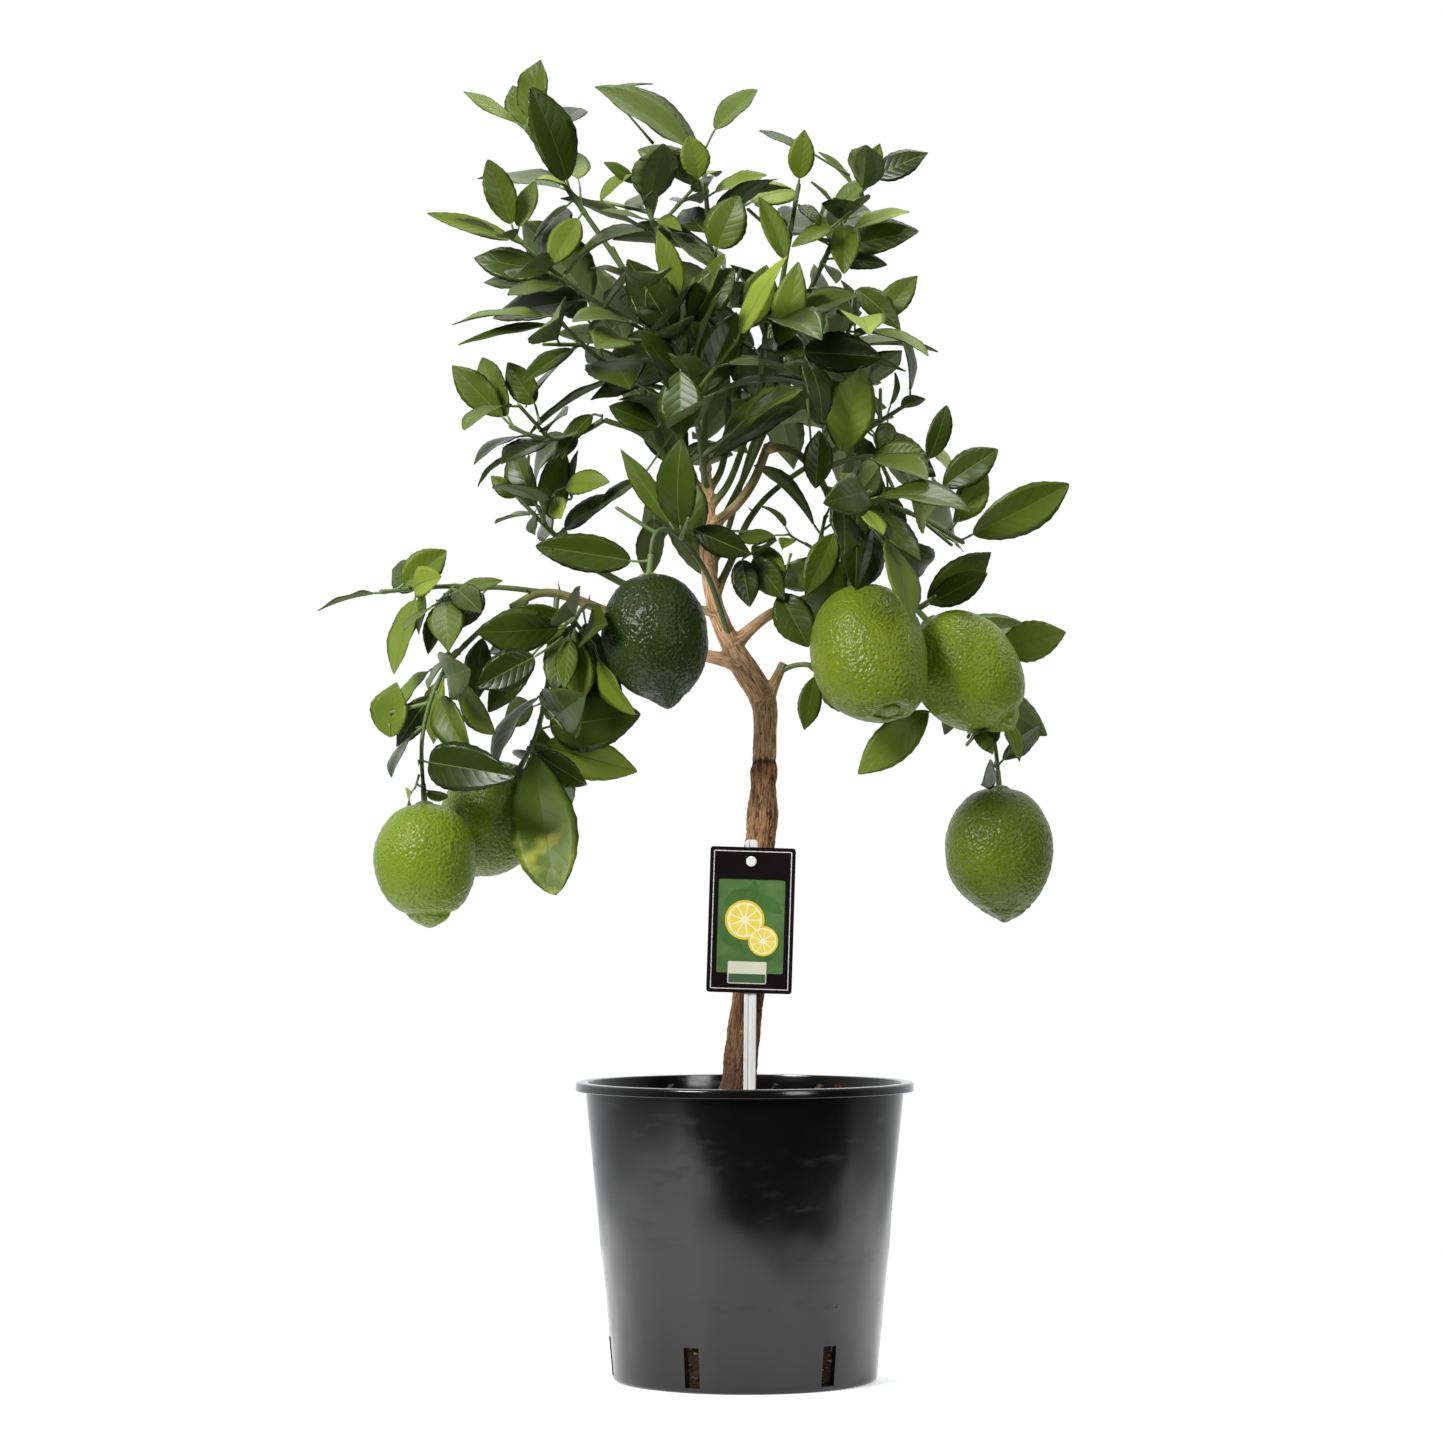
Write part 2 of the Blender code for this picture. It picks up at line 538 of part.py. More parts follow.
def outer_leaf(start, tip, rng):
    """A leaf from a twig to a stated tip, its upper face turned outwards."""
    reach = tip - start
    bend = math.radians(rng.uniform(*OUTER_BEND))
    face = (start - CROWN_HEART).normalized() * 0.5 + Vector((0, 0, rng.uniform(0, 0.5)))
    face -= Vector((0, rng.uniform(0.4, 1.2), 0))
    face = (face - reach * face.dot(reach) / reach.length_squared).normalized()
    way = reach.normalized() * math.cos(bend / 2) + face * math.sin(bend / 2)
    face = (face - way * face.dot(way)).normalized()
    turned = Matrix((way, face.cross(way), face)).transposed()
    turned = turned @ Matrix.Rotation(math.radians(rng.uniform(-OUTER_ROLL, OUTER_ROLL)), 3, "X")
    petiole = min(PETIOLE, PETIOLE_SHARE * reach.length)
    length = reach.length - petiole
    width = length * rng.uniform(*LEAF_WIDTHS)
    return Leaf(start, turned, petiole, length, width, bend, math.radians(rng.uniform(*OUTER_FOLD)))


def grown_outline(spray, stem, rng, fits):
    """The stated outer leaves of a mass, each swung a little where its place is taken."""
    leaves = []
    for share, tip in OUTER_LEAVES.get(spray.name, ()):
        start, _ = along(stem.path, share)
        for attempt in range(TRIES):
            swing = Vector([rng.uniform(-1, 1) for _ in "xyz"]) * OUTER_SWING * attempt / TRIES
            leaf = outer_leaf(start, Vector(tip) * MM + swing, rng)
            if fits(leaf):
                leaves.append(leaf)
                break
    return leaves


def grown_leaves(spray, twigs, rng, fits):
    """The leaves that the rule sets along a mass's twigs, without those that fit nowhere."""
    leaves = []
    for number, twig in enumerate(twigs):
        length = sum((b - a).length for a, b in zip(twig.path, twig.path[1:]))
        bare = FIRST_LEAF if number else spray.bare
        count = max(2, round(length * (1 - bare) / INTERNODE))
        outline = OUTER_LEAVES.get(spray.name, [(0, None)])
        tip_taken = number == 0 and (spray.tip is None or outline[0][0] > 0.9)
        turn = rng.uniform(0, math.tau)
        for i in range(count if tip_taken else count + 1):
            at_tip = i == count
            share = LAST_LEAF if at_tip else bare + (1 - bare) * i / count
            turn += GOLDEN
            start, heading = along(twig.path, share)
            size = spray.leaf * MM * (0.84 + 0.32 * math.sin(math.pi * (0.15 + 0.7 * share)))
            for attempt in range(TRIES):
                spread = math.radians(rng.uniform(*(TIP_SPREAD if at_tip else LEAF_SPREAD)))
                swung = turn + rng.uniform(-0.35, 0.35) * (1 + attempt)
                leaf = leaf_at(start, heading, swung, spread, size, rng)
                if not hides_sky(leaf) and fits(leaf):
                    leaves.append(leaf)
                    break
    return leaves


def touches(tree, others):
    return any(tree.overlap(other) for other in others)


def grown_tree():
    """Every limb's path and shape, and every mass's twigs and leaves, each clear of all that grew before it."""
    limbs, shapes, trees = {}, {}, {}
    for limb in LIMBS:
        sides = LIMB_SIDES if limb.parent else TRUNK_SIDES
        path, radii = through(limb.points, limb.radii)
        if limb.parent:
            path, radii = trimmed(path, radii, sides, trees[limb.parent])
        limbs[limb.name] = path, radii
        shapes[limb.name] = tube(path, radii, sides)
        trees[limb.name] = tree_of(shapes[limb.name])
    for point in shapes["trunk"][0][:TRUNK_SIDES]:
        point.z = SOIL_TOP + GAP

    fruit_trees = {name: tree_of(fruit_shape(fruit)) for name, fruit in FRUITS.items()}
    twigs = {spray.name: [grown_stem(spray, limbs, trees)] for spray in SPRAYS}
    twig_trees = {name: [tree_of(tube(*stems[0], 3))] for name, stems in twigs.items()}
    for spray in SPRAYS:
        rng = random.Random(f"{spray.name} shoots {spray.take}")
        others = [*trees.values(), *fruit_trees.values()]
        others += [tree for name, placed in twig_trees.items() if name != spray.name for tree in placed]

        def room_for(shoot):
            swollen = [radius + TWIG_CLEAR for radius in shoot.radii]
            return not touches(tree_of(tube(shoot.path, swollen, 3)), others)

        shoots = grown_shoots(spray, twigs[spray.name][0], rng, room_for)
        twigs[spray.name] += shoots
        twig_trees[spray.name] += [tree_of(tube(*shoot, 3)) for shoot in shoots]

    leaves = {spray.name: [] for spray in SPRAYS}
    leaf_trees = {spray.name: [] for spray in SPRAYS}
    for outline in (True, False):
        for spray in SPRAYS:
            rng = random.Random(f"{spray.name} leaves {outline} {spray.take}")
            others = list(trees.values())
            others += [tree for name, tree in fruit_trees.items() if name != spray.name]
            for placed in (twig_trees, leaf_trees):
                others += [tree for name, kept in placed.items() if name != spray.name for tree in kept]
            own = leaf_trees[spray.name]
            own_wood = [*twig_trees[spray.name], *([fruit_trees[spray.name]] if spray.tip is None else [])]

            def room_for(leaf):
                blade = tree_of(leaf_shape(leaf, GAP, -JOINED_PART))
                if touches(tree_of(leaf_shape(leaf, LEAF_CLEAR)), others) or touches(blade, own_wood + own):
                    return False
                if not all(outside(on_leaf(leaf, 1), tree) for tree in fruit_trees.values()):
                    return False
                own.append(tree_of(leaf_shape(leaf)))
                return True

            if outline:
                leaves[spray.name] += grown_outline(spray, twigs[spray.name][0], rng, room_for)
            else:
                leaves[spray.name] += grown_leaves(spray, twigs[spray.name], rng, room_for)
    return shapes, twigs, leaves


def lathed(profile, sides):
    """Points and faces of a profile of (radius, height) turned round the Z axis, its ends on the axis."""
    points, rings, faces = [], [], []
    for radius, height in profile:
        if radius == 0:
            rings.append([len(points)] * sides)
            points.append((0, 0, height))
            continue
        rings.append(list(range(len(points), len(points) + sides)))
        for k in range(sides):
            turn = math.tau * k / sides
            points.append((radius * math.cos(turn), radius * math.sin(turn), height))
    for lower, upper in zip(rings, rings[1:]):
        for k in range(sides):
            after = (k + 1) % sides
            ring = (lower[k], lower[after], upper[after], upper[k])
            faces.append(tuple(dict.fromkeys(ring)))
    return points, faces


def block(size):
    """Points and faces of a box that stands on the origin."""
    x, y, z = size
    points = [(a * x / 2, b * y / 2, c) for c in (0, z) for a, b in ((-1, -1), (1, -1), (1, 1), (-1, 1))]
    return points, [(3, 2, 1, 0), (4, 5, 6, 7), *((k, (k + 1) % 4, 4 + (k + 1) % 4, 4 + k) for k in range(4))]


def rod(radius, length):
    """Points and faces of a round rod that runs from the origin towards -Y."""
    return tube([Vector((0, 0, 0)), Vector((0, -length, 0))], [radius, radius], STUD_SIDES)


def moved(shape, place, lean=0.0):
    """The shape leaned about the Y axis, to the right at its top, and then moved."""
    turn = Matrix.Rotation(lean, 3, "Y")
    return [turn @ Vector(p) + place for p in shape[0]], shape[1]


def combine(base, others, operation):
    """One Boolean of a collection of objects on the base, applied, with the objects then removed."""
    group = bpy.data.collections.new(base.name + "_parts")
    bpy.context.scene.collection.children.link(group)
    for other in others:
        bpy.context.scene.collection.objects.unlink(other)
        group.objects.link(other)
    boolean = base.modifiers.new("join", "BOOLEAN")
    boolean.operation = operation
    boolean.operand_type = "COLLECTION"
    boolean.collection = group
    boolean.solver = "EXACT"
    graph = bpy.context.evaluated_depsgraph_get()
    joined = bpy.data.meshes.new_from_object(base.evaluated_get(graph))
    base.modifiers.clear()
    base.data = joined
    for other in others:
        bpy.data.objects.remove(other, do_unlink=True)
    bpy.data.collections.remove(group)
    keep_largest(joined)
    return base


def keep_largest(mesh):
    """Drops loose scraps and sealed hollows: every shell but the one with the most points."""
    body = bmesh.new()
    body.from_mesh(mesh)
    shells, seen = [], set()
    for vertex in body.verts:
        if vertex in seen:
            continue
        shell, border = {vertex}, [vertex]
        while border:
            for edge in border.pop().link_edges:
                for end in edge.verts:
                    if end not in shell:
                        shell.add(end)
                        border.append(end)
        seen |= shell
        shells.append(shell)
    shells.sort(key=len)
    bmesh.ops.delete(body, geom=[vertex for shell in shells[:-1] for vertex in shell], context="VERTS")
    body.to_mesh(mesh)
    body.free()


def wall_radius(height):
    """The pot's outer radius at this height below its lip."""
    return FOOT_RADIUS + (NECK_RADIUS - FOOT_RADIUS) * height / (POT_HEIGHT - LIP_DROP)


def make_pot(black):
    skirt = RIM_RADIUS - LIP_WALL
    under = POT_HEIGHT - LIP_WALL
    profile = [
        (0, 0),
        (FOOT_RADIUS - FOOT_ROUNDING, 0),
        (wall_radius(0) - FOOT_ROUNDING * 0.3, FOOT_ROUNDING * 0.3),
        (wall_radius(FOOT_ROUNDING), FOOT_ROUNDING),
        (wall_radius(under), under),
        (skirt, under),
        (skirt, POT_HEIGHT - LIP_DROP),
        (RIM_RADIUS, POT_HEIGHT - LIP_DROP),
        (RIM_RADIUS, POT_HEIGHT),
        (wall_radius(POT_HEIGHT) - POT_WALL, POT_HEIGHT),
        (wall_radius(POT_WALL) - POT_WALL, POT_WALL),
        (0, POT_WALL),
    ]
    pot = solid("pot", lathed(profile, POT_SIDES), [black])
    cutters = []
    for k in range(SLOTS):
        shape = block((SLOT_WIDTH, 10 * POT_WALL, SLOT_HIGH - SLOT_LOW))
        turn = Matrix.Rotation(SLOT_TURN + math.tau * k / SLOTS, 3, "Z")
        place = Vector((0, -FOOT_RADIUS, SLOT_LOW))
        cutters.append(solid(f"slot_{k}", ([turn @ (Vector(p) + place) for p in shape[0]], shape[1]), [black]))
    combine(pot, cutters, "DIFFERENCE")
    pot.data.shade_smooth()
    pot.data.set_sharp_from_angle(angle=math.radians(35))


def make_soil(brown):
    low = POT_WALL + GAP
    profile = [
        (0, low),
        (wall_radius(low) - POT_WALL - GAP, low),
        (wall_radius(SOIL_TOP) - POT_WALL - GAP, SOIL_TOP),
        (0, SOIL_TOP),
    ]
    soil = solid("soil", lathed(profile, SOIL_SIDES), [brown])
    hole = block((STRIP_SIZE[0] + 2 * GAP, STRIP_SIZE[1] + 2 * GAP, STRIP_LENGTH))
    combine(soil, [solid("hole", moved(hole, STRIP_FOOT - UP * GAP, STRIP_LEAN), [brown])], "DIFFERENCE")


def stud_place(depth):
    """The stud's middle at a depth, on the strip's own line."""
    rise = STUD_HEIGHT - STRIP_FOOT.z
    return Vector((STRIP_FOOT.x + rise * math.tan(STRIP_LEAN), depth, STUD_HEIGHT))


def make_label(white, black):
    card_back = CARD_CENTRE.y + CARD_THICK / 2
    card_front = card_back - CARD_THICK
    strip = solid("label_stem", moved(block((*STRIP_SIZE, STRIP_LENGTH)), STRIP_FOOT, STRIP_LEAN), [white])
    head_back = card_front - GAP - CARD_BOW * 0.1
    neck_length = STRIP_FOOT.y - head_back + STUD_SUNK
    stud = solid("stud", moved(rod(STUD_RADIUS, neck_length), stud_place(STRIP_FOOT.y)), [white])
    head = solid("head", moved(rod(*STUD_HEAD), stud_place(head_back)), [white])
    combine(strip, [stud, head], "UNION")

    width, height = CARD_SIZE
    points = []
    for k in range(CARD_STRIPS + 1):
        across = 2 * k / CARD_STRIPS - 1
        bow = -CARD_BOW * across * across
        for z in (-height / 2, height / 2):
            for y in (CARD_THICK / 2, -CARD_THICK / 2):
                points.append((across * width / 2, y + bow, z))
    faces = [(0, 1, 3, 2), (4 * CARD_STRIPS, 4 * CARD_STRIPS + 2, 4 * CARD_STRIPS + 3, 4 * CARD_STRIPS + 1)]
    for k in range(CARD_STRIPS):
        for a, b in ((0, 1), (1, 3), (3, 2), (2, 0)):
            faces.append((4 * k + a, 4 * k + 4 + a, 4 * k + 4 + b, 4 * k + b))
    card = solid("label_card", moved((points, faces), CARD_CENTRE, CARD_LEAN), [black])
    cutter = moved(rod(STUD_RADIUS + GAP, 10 * CARD_THICK), stud_place(CARD_CENTRE.y + 5 * CARD_THICK))
    combine(card, [solid("card_hole", cutter, [black])], "DIFFERENCE")


def make_mass(spray, twigs, leaves, materials):
    leaf_slot, twig_slot, fruit_slot = range(3)
    shapes = [(tube(*twig, 3), twig_slot) for twig in twigs[1:]]
    shapes += [(leaf_shape(leaf), leaf_slot) for leaf in leaves]
    if spray.name in FRUITS:
        shapes.append((fruit_shape(FRUITS[spray.name]), fruit_slot))
    pieces = [solid(f"{spray.name}_{i}", shape, materials, slot) for i, (shape, slot) in enumerate(shapes)]
    mass = solid(f"{spray.name}_leaves", tube(*twigs[0], 3), materials, twig_slot)
    return combine(mass, pieces, "UNION")


def main():
    clear_scene()
    make_pot(material("pot_plastic", (0.012, 0.012, 0.013), 0.35))
    make_soil(material("compost", (0.09, 0.05, 0.03), 0.95))
    make_label(material("stem_plastic", (0.82, 0.82, 0.8), 0.4), material("card", (0.03, 0.03, 0.03), 0.45))
    shapes, twigs, leaves = grown_tree()
    bark = material("bark", (0.22, 0.17, 0.10), 0.85)
    for name, shape in shapes.items():
        solid(name, shape, [bark], smooth_under=50)
    leaf_green = material("leaf", (0.06, 0.16, 0.025), 0.35)
    twig_green = material("twig", (0.13, 0.17, 0.05), 0.6)
    fruit_green = material("fruit", (0.12, 0.24, 0.03), 0.4)
    for spray in SPRAYS:
        make_mass(spray, twigs[spray.name], leaves[spray.name], [leaf_green, twig_green, fruit_green])


main()
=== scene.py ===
# %% [markdown]
# # Potted lemon tree
# A young grafted lemon tree in a black nursery pot, dressed in Blender around its plain solids.
# Each step says what the real piece is, how it could be made, and why it is made this way here.
# The solids come first, as a fixed frame: everything below sits in the same place and the same metres.

# %% Load the solids
import json
import math
import random
from collections import namedtuple

import bmesh
import bpy
import numpy as np
from mathutils import Matrix, Vector, noise
from mathutils.bvhtree import BVHTree
from mathutils.kdtree import KDTree

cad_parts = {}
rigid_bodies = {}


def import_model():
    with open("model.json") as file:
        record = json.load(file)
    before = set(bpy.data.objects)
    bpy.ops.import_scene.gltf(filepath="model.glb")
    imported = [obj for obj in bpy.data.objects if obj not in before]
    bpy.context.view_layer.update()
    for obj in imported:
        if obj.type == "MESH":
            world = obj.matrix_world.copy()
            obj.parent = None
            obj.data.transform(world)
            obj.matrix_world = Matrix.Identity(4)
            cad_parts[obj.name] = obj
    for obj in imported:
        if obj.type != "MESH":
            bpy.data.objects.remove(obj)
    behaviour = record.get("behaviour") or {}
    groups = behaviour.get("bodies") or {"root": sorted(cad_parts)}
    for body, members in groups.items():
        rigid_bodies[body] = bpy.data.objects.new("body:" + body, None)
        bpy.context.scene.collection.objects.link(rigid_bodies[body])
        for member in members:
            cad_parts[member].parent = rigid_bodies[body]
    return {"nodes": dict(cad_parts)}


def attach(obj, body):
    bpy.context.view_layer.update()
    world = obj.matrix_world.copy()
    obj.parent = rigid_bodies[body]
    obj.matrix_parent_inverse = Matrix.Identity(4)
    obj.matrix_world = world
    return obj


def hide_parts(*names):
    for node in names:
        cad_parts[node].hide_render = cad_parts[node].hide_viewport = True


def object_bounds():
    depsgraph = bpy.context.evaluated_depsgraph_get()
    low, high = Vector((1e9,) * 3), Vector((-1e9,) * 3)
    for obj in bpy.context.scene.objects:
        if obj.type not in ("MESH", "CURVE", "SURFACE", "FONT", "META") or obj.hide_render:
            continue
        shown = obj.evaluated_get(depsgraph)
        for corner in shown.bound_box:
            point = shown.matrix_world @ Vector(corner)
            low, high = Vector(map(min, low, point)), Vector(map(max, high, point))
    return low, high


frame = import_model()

MM = 0.001
UP = Vector((0, 0, 1))
cad_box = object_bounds()
print("solids:", len(frame["nodes"]), "box:", [[round(c, 3) for c in corner] for corner in cad_box])

# %% [markdown]
# ## The photographer's place
# The picture was taken from about two and a half metres, level with the tree's lower half, and the lens tips up by
# about two degrees. A long lens at that distance keeps the pot's rim nearly flat, so the camera gets the same
# distance and angle of view, with no shift.

# %% Camera
PICTURE_SIDE = 1445
FOCAL_PIXELS = 4000
SENSOR_MM = 36
camera = bpy.data.objects.new("camera", bpy.data.cameras.new("camera"))
bpy.context.scene.collection.objects.link(camera)
camera.location = (0, -2.56, 0.3107)
camera.rotation_euler = (math.pi / 2 + math.atan(167.5 / FOCAL_PIXELS), 0, math.atan(22.2 / FOCAL_PIXELS))
camera.data.sensor_width = SENSOR_MM
camera.data.lens = FOCAL_PIXELS / PICTURE_SIDE * SENSOR_MM
bpy.context.scene.camera = camera
print("lens:", round(camera.data.lens, 1), "mm")

# %% [markdown]
# ## Studio light
# The plant stands in a white photo studio: white ground and backdrop, a large soft light high on the left, a
# smaller one on the right, and a dim room behind the camera. Gloss on leaves and on the pot is mostly the shape of
# what it reflects, so the surroundings are part of the look. A world colour that is bright behind the plant and
# dim in front gives the dark middle and the bright edges of the black pot, and plain area lights do the rest.

# %% A helper for shader nodes
def set_inputs(node, *in_order, **by_name):
    """Gives inputs a number or a colour each, or joins another node's output to them."""
    for label, value in [*enumerate(in_order), *by_name.items()]:
        target = node.inputs[label if isinstance(label, int) else label.replace("_", " ")]
        if isinstance(value, bpy.types.NodeSocket):
            node.id_data.links.new(value, target)
        elif value is not None:
            target.default_value = value


def add_node(tree, kind, *in_order, **values):
    """The outputs of a new node. Names in small letters are its settings, and the others its inputs."""
    made = tree.nodes.new("ShaderNode" + kind)
    for label in [label for label in values if label.islower()]:
        setattr(made, label, values.pop(label))
    set_inputs(made, *in_order, **values)
    return made.outputs


def ranged(tree, value, low, high, first=0, last=1, way="LINEAR"):
    """A value that goes from first to last while another goes from low to high."""
    return add_node(tree, "MapRange", value, low, high, first, last, interpolation_type=way)[0]


def blended(tree, factor, first, second, way="MIX"):
    """A mix of two colours, each a colour or a socket."""
    pair = [(*colour, 1) if isinstance(colour, tuple) else colour for colour in (first, second)]
    return add_node(tree, "Mix", factor, *[None] * 5, *pair, data_type="RGBA", blend_type=way)[2]


# %% World
scene = bpy.context.scene
scene.view_settings.view_transform = "Standard"
world = bpy.data.worlds.new("white_studio")
scene.world = world
world.use_nodes = True
sky = world.node_tree
sky.nodes.clear()
direction = add_node(sky, "TexCoord")["Generated"]
toward = add_node(sky, "VectorMath", direction, (-0.12, 0.95, 0.22), operation="DOT_PRODUCT")["Value"]
lightness = add_node(sky, "ValToRGB", ranged(sky, toward, -1, 1))["Color"]
stops = lightness.node.color_ramp.elements
for place, value in ((0.30, 0.03), (0.46, 0.16), (0.56, 0.75), (1.0, 1.25)):
    stop = stops[0] if place == 0.30 else stops[1] if place == 1.0 else stops.new(place)
    stop.position = place
    stop.color = (value * 0.97, value * 0.985, value, 1)
above_ground = ranged(sky, add_node(sky, "SeparateXYZ", direction)["Z"], -0.55, 0.02, 0.2, 1)
lit = add_node(sky, "Background", lightness, above_ground)[0]
seen = add_node(sky, "Background", (1, 1, 1, 1), 1)[0]
to_camera = add_node(sky, "LightPath")["Is Camera Ray"]
add_node(sky, "OutputWorld", add_node(sky, "MixShader", to_camera, lit, seen)[0])


# %% Soft lights
def soft_light(name, place, aim, size, watts):
    """A rectangular soft light at a place, turned to its aim."""
    lamp = bpy.data.lights.new(name, "AREA")
    lamp.shape = "RECTANGLE"
    lamp.size, lamp.size_y = size
    lamp.energy = watts
    holder = bpy.data.objects.new(name, lamp)
    scene.collection.objects.link(holder)
    holder.location = place
    holder.rotation_euler = (Vector(aim) - Vector(place)).to_track_quat("-Z", "Y").to_euler()


soft_light("key_light", (-1.7, -1.9, 2.0), (0, 0, 0.5), (0.9, 0.9), 105)
soft_light("fill_light", (1.6, -2.2, 1.3), (0, 0, 0.4), (0.8, 1.2), 22)
soft_light("top_light", (0.1, 0.3, 2.6), (0, 0, 0.5), (1.4, 1.0), 40)

# %% [markdown]
# ## Ground
# The ground is plain white paper that runs on into the backdrop with no edge. A disc that fades out towards its
# rim does that from every side, where a curved sheet would stand in the way of a camera behind the plant. In
# front it ends just below the picture: a glossy wall reflects what lies in front of it, and it is the dark room
# beyond the paper's edge that makes the upper half of the pot black.

# %% Ground disc
GROUND_RADIUS = 3.0
ground_mesh = bpy.data.meshes.new("ground")
ring = [(GROUND_RADIUS * math.cos(a), GROUND_RADIUS * math.sin(a), 0) for a in np.linspace(0, math.tau, 96, False)]
ground_mesh.from_pydata(ring, [], [tuple(range(96))])
ground = bpy.data.objects.new("ground", ground_mesh)
scene.collection.objects.link(ground)
paper = bpy.data.materials.new("white_paper")
paper.use_nodes = True
tree = paper.node_tree
bounce = add_node(tree, "LightPath")["Is Diffuse Ray"]
where = add_node(tree, "TexCoord")["Object"]
reach = add_node(tree, "VectorMath", where, operation="LENGTH")["Value"]
forward = add_node(tree, "VectorMath", where, (0.35, -1, 0), operation="DOT_PRODUCT")["Value"]
fades = [ranged(tree, reach, 0.42, 1.1, 1, 0, "SMOOTHERSTEP"), ranged(tree, forward, 0.32, 0.50, 1, 0, "SMOOTHERSTEP")]
set_inputs(
    tree.nodes["Principled BSDF"], Base_Color=(0.93, 0.93, 0.93, 1), Roughness=0.6, Emission_Color=(1, 1, 1, 1),
    Emission_Strength=ranged(tree, bounce, 0, 1, 0.42, 0),
    Alpha=add_node(tree, "Math", *fades, operation="MULTIPLY")[0],
)
ground_mesh.materials.append(paper)

# %% [markdown]
# ## Effects that several finishes share
# Nothing that grows is one flat colour, and moulded plastic carries scuffs. Three small node groups give
# those: *mottle* drifts between two colours, *pores* gives the height of small pits, and *scuffs* a mask of fine
# marks. A group holds the working once, and each finish sets its own numbers on it.


# %% Node group helper
def group_of(name, outputs, **inputs):
    """A node group with these outputs by kind and inputs by starting value, its inputs' sockets and its last node."""
    made = bpy.data.node_groups.new(name, "ShaderNodeTree")
    for label, value in inputs.items():
        kind = {3: "Vector", 4: "Color"}[len(value)] if isinstance(value, tuple) else "Float"
        socket = made.interface.new_socket(name=label, in_out="INPUT", socket_type="NodeSocket" + kind)
        socket.default_value = value
    for label, kind in outputs.items():
        made.interface.new_socket(name=label, in_out="OUTPUT", socket_type="NodeSocket" + kind)
    return made, made.nodes.new("NodeGroupInput").outputs, made.nodes.new("NodeGroupOutput")


# %% Mottle
mottle, given, result = group_of(
    "mottle", {"Color": "Color", "Mask": "Float"},
    Light=(0.5, 0.5, 0.5, 1), Dark=(0.2, 0.2, 0.2, 1), Scale=60.0, Balance=0.5, Softness=0.3,
)
place = add_node(mottle, "TexCoord")["Object"]
clouds = add_node(mottle, "TexNoise", place, Scale=given["Scale"], Detail=4)["Fac"]
edges = [add_node(mottle, "Math", given["Balance"], given["Softness"], operation=way)[0] for way in ("SUBTRACT", "ADD")]
mask = ranged(mottle, clouds, *edges)
set_inputs(result, blended(mottle, mask, given["Dark"], given["Light"]), mask)

# %% Pores
pores, given, result = group_of("pores", {"Height": "Float"}, Scale=400.0, Roundness=1.0)
place = add_node(pores, "TexCoord")["Object"]
wander = add_node(pores, "TexNoise", place, Scale=180)["Color"]
nudged = add_node(pores, "VectorMath", wander, (0.002, 0.002, 0.002), place, operation="MULTIPLY_ADD")[0]
cells = add_node(pores, "TexVoronoi", nudged, Scale=given["Scale"], feature="SMOOTH_F1")["Distance"]
set_inputs(result, add_node(pores, "Math", cells, given["Roundness"], operation="POWER")[0])

# %% Scuffs
scuffs, given, result = group_of("scuffs", {"Mask": "Float"}, Scale=30.0, Stretch=8.0, Threshold=0.6)
stretch = add_node(scuffs, "CombineXYZ", 1, 1, given["Stretch"])[0]
pulled = add_node(scuffs, "VectorMath", add_node(scuffs, "TexCoord")["Object"], stretch, operation="MULTIPLY")[0]
marks = add_node(scuffs, "TexNoise", pulled, Scale=given["Scale"], Detail=6, Roughness=0.65)["Fac"]
above = add_node(scuffs, "Math", given["Threshold"], 0.12, operation="ADD")[0]
set_inputs(result, ranged(scuffs, marks, given["Threshold"], above))
print("groups:", [g.name for g in bpy.data.node_groups])

# %% [markdown]
# ## Finishes
# Every finish is one Principled shader. The helper below gives it a mottled colour and, where asked, a bump from
# pores or fine noise. Leaf tones stay plain colours with a faint drift, one for each age of leaf, because a leaf's
# tone goes with its age: young ones are yellow-green, old ones nearly black-green.


# %% Finish helper
def mottled(tree, light, dark, **values):
    """A colour that drifts between two colours."""
    return add_node(tree, "Group", node_tree=mottle, Light=(*light, 1), Dark=(*dark, 1), **values)["Color"]


def finish(name, light, dark, roughness, mottle_scale=60, softness=0.3, **sockets):
    """A material that drifts between two colours, with numbers for the shader's own sockets."""
    made = bpy.data.materials.new(name)
    made.use_nodes = True
    colour = mottled(made.node_tree, light, dark, Scale=mottle_scale, Softness=softness)
    set_inputs(made.node_tree.nodes["Principled BSDF"], Base_Color=colour, Roughness=roughness, **sockets)
    return made


def bumped(material, height, depth):
    """Adds a bump of this depth in metres, from a socket that gives height."""
    normal = add_node(material.node_tree, "Bump", Strength=1, Distance=depth, Height=height)["Normal"]
    set_inputs(material.node_tree.nodes["Principled BSDF"], Normal=normal)
    return material


# %% [markdown]
# ## How the tree grows
# A plant is easier to grow than to model leaf by leaf. The limbs are few and each has its own way, so they are
# listed. The foliage follows a rule with seeded chance: a stem, side shoots a golden angle apart, and leaves along
# them that turn to the light. The tables and the rule are the ones that the solids were made by, so the fine leaves
# here grow where the solids have theirs.

# %% Limbs, fruit and masses of foliage
GAP = 0.3 * MM
# Compost, trunk and boughs
SOIL_TOP = 176.0 * MM
TRUNK_SIDES = 12
LIMB_SIDES = 6
PATH_STEP = 22 * MM
TRIM_STEPS = 60
SHORTEST_PIECE = 0.3
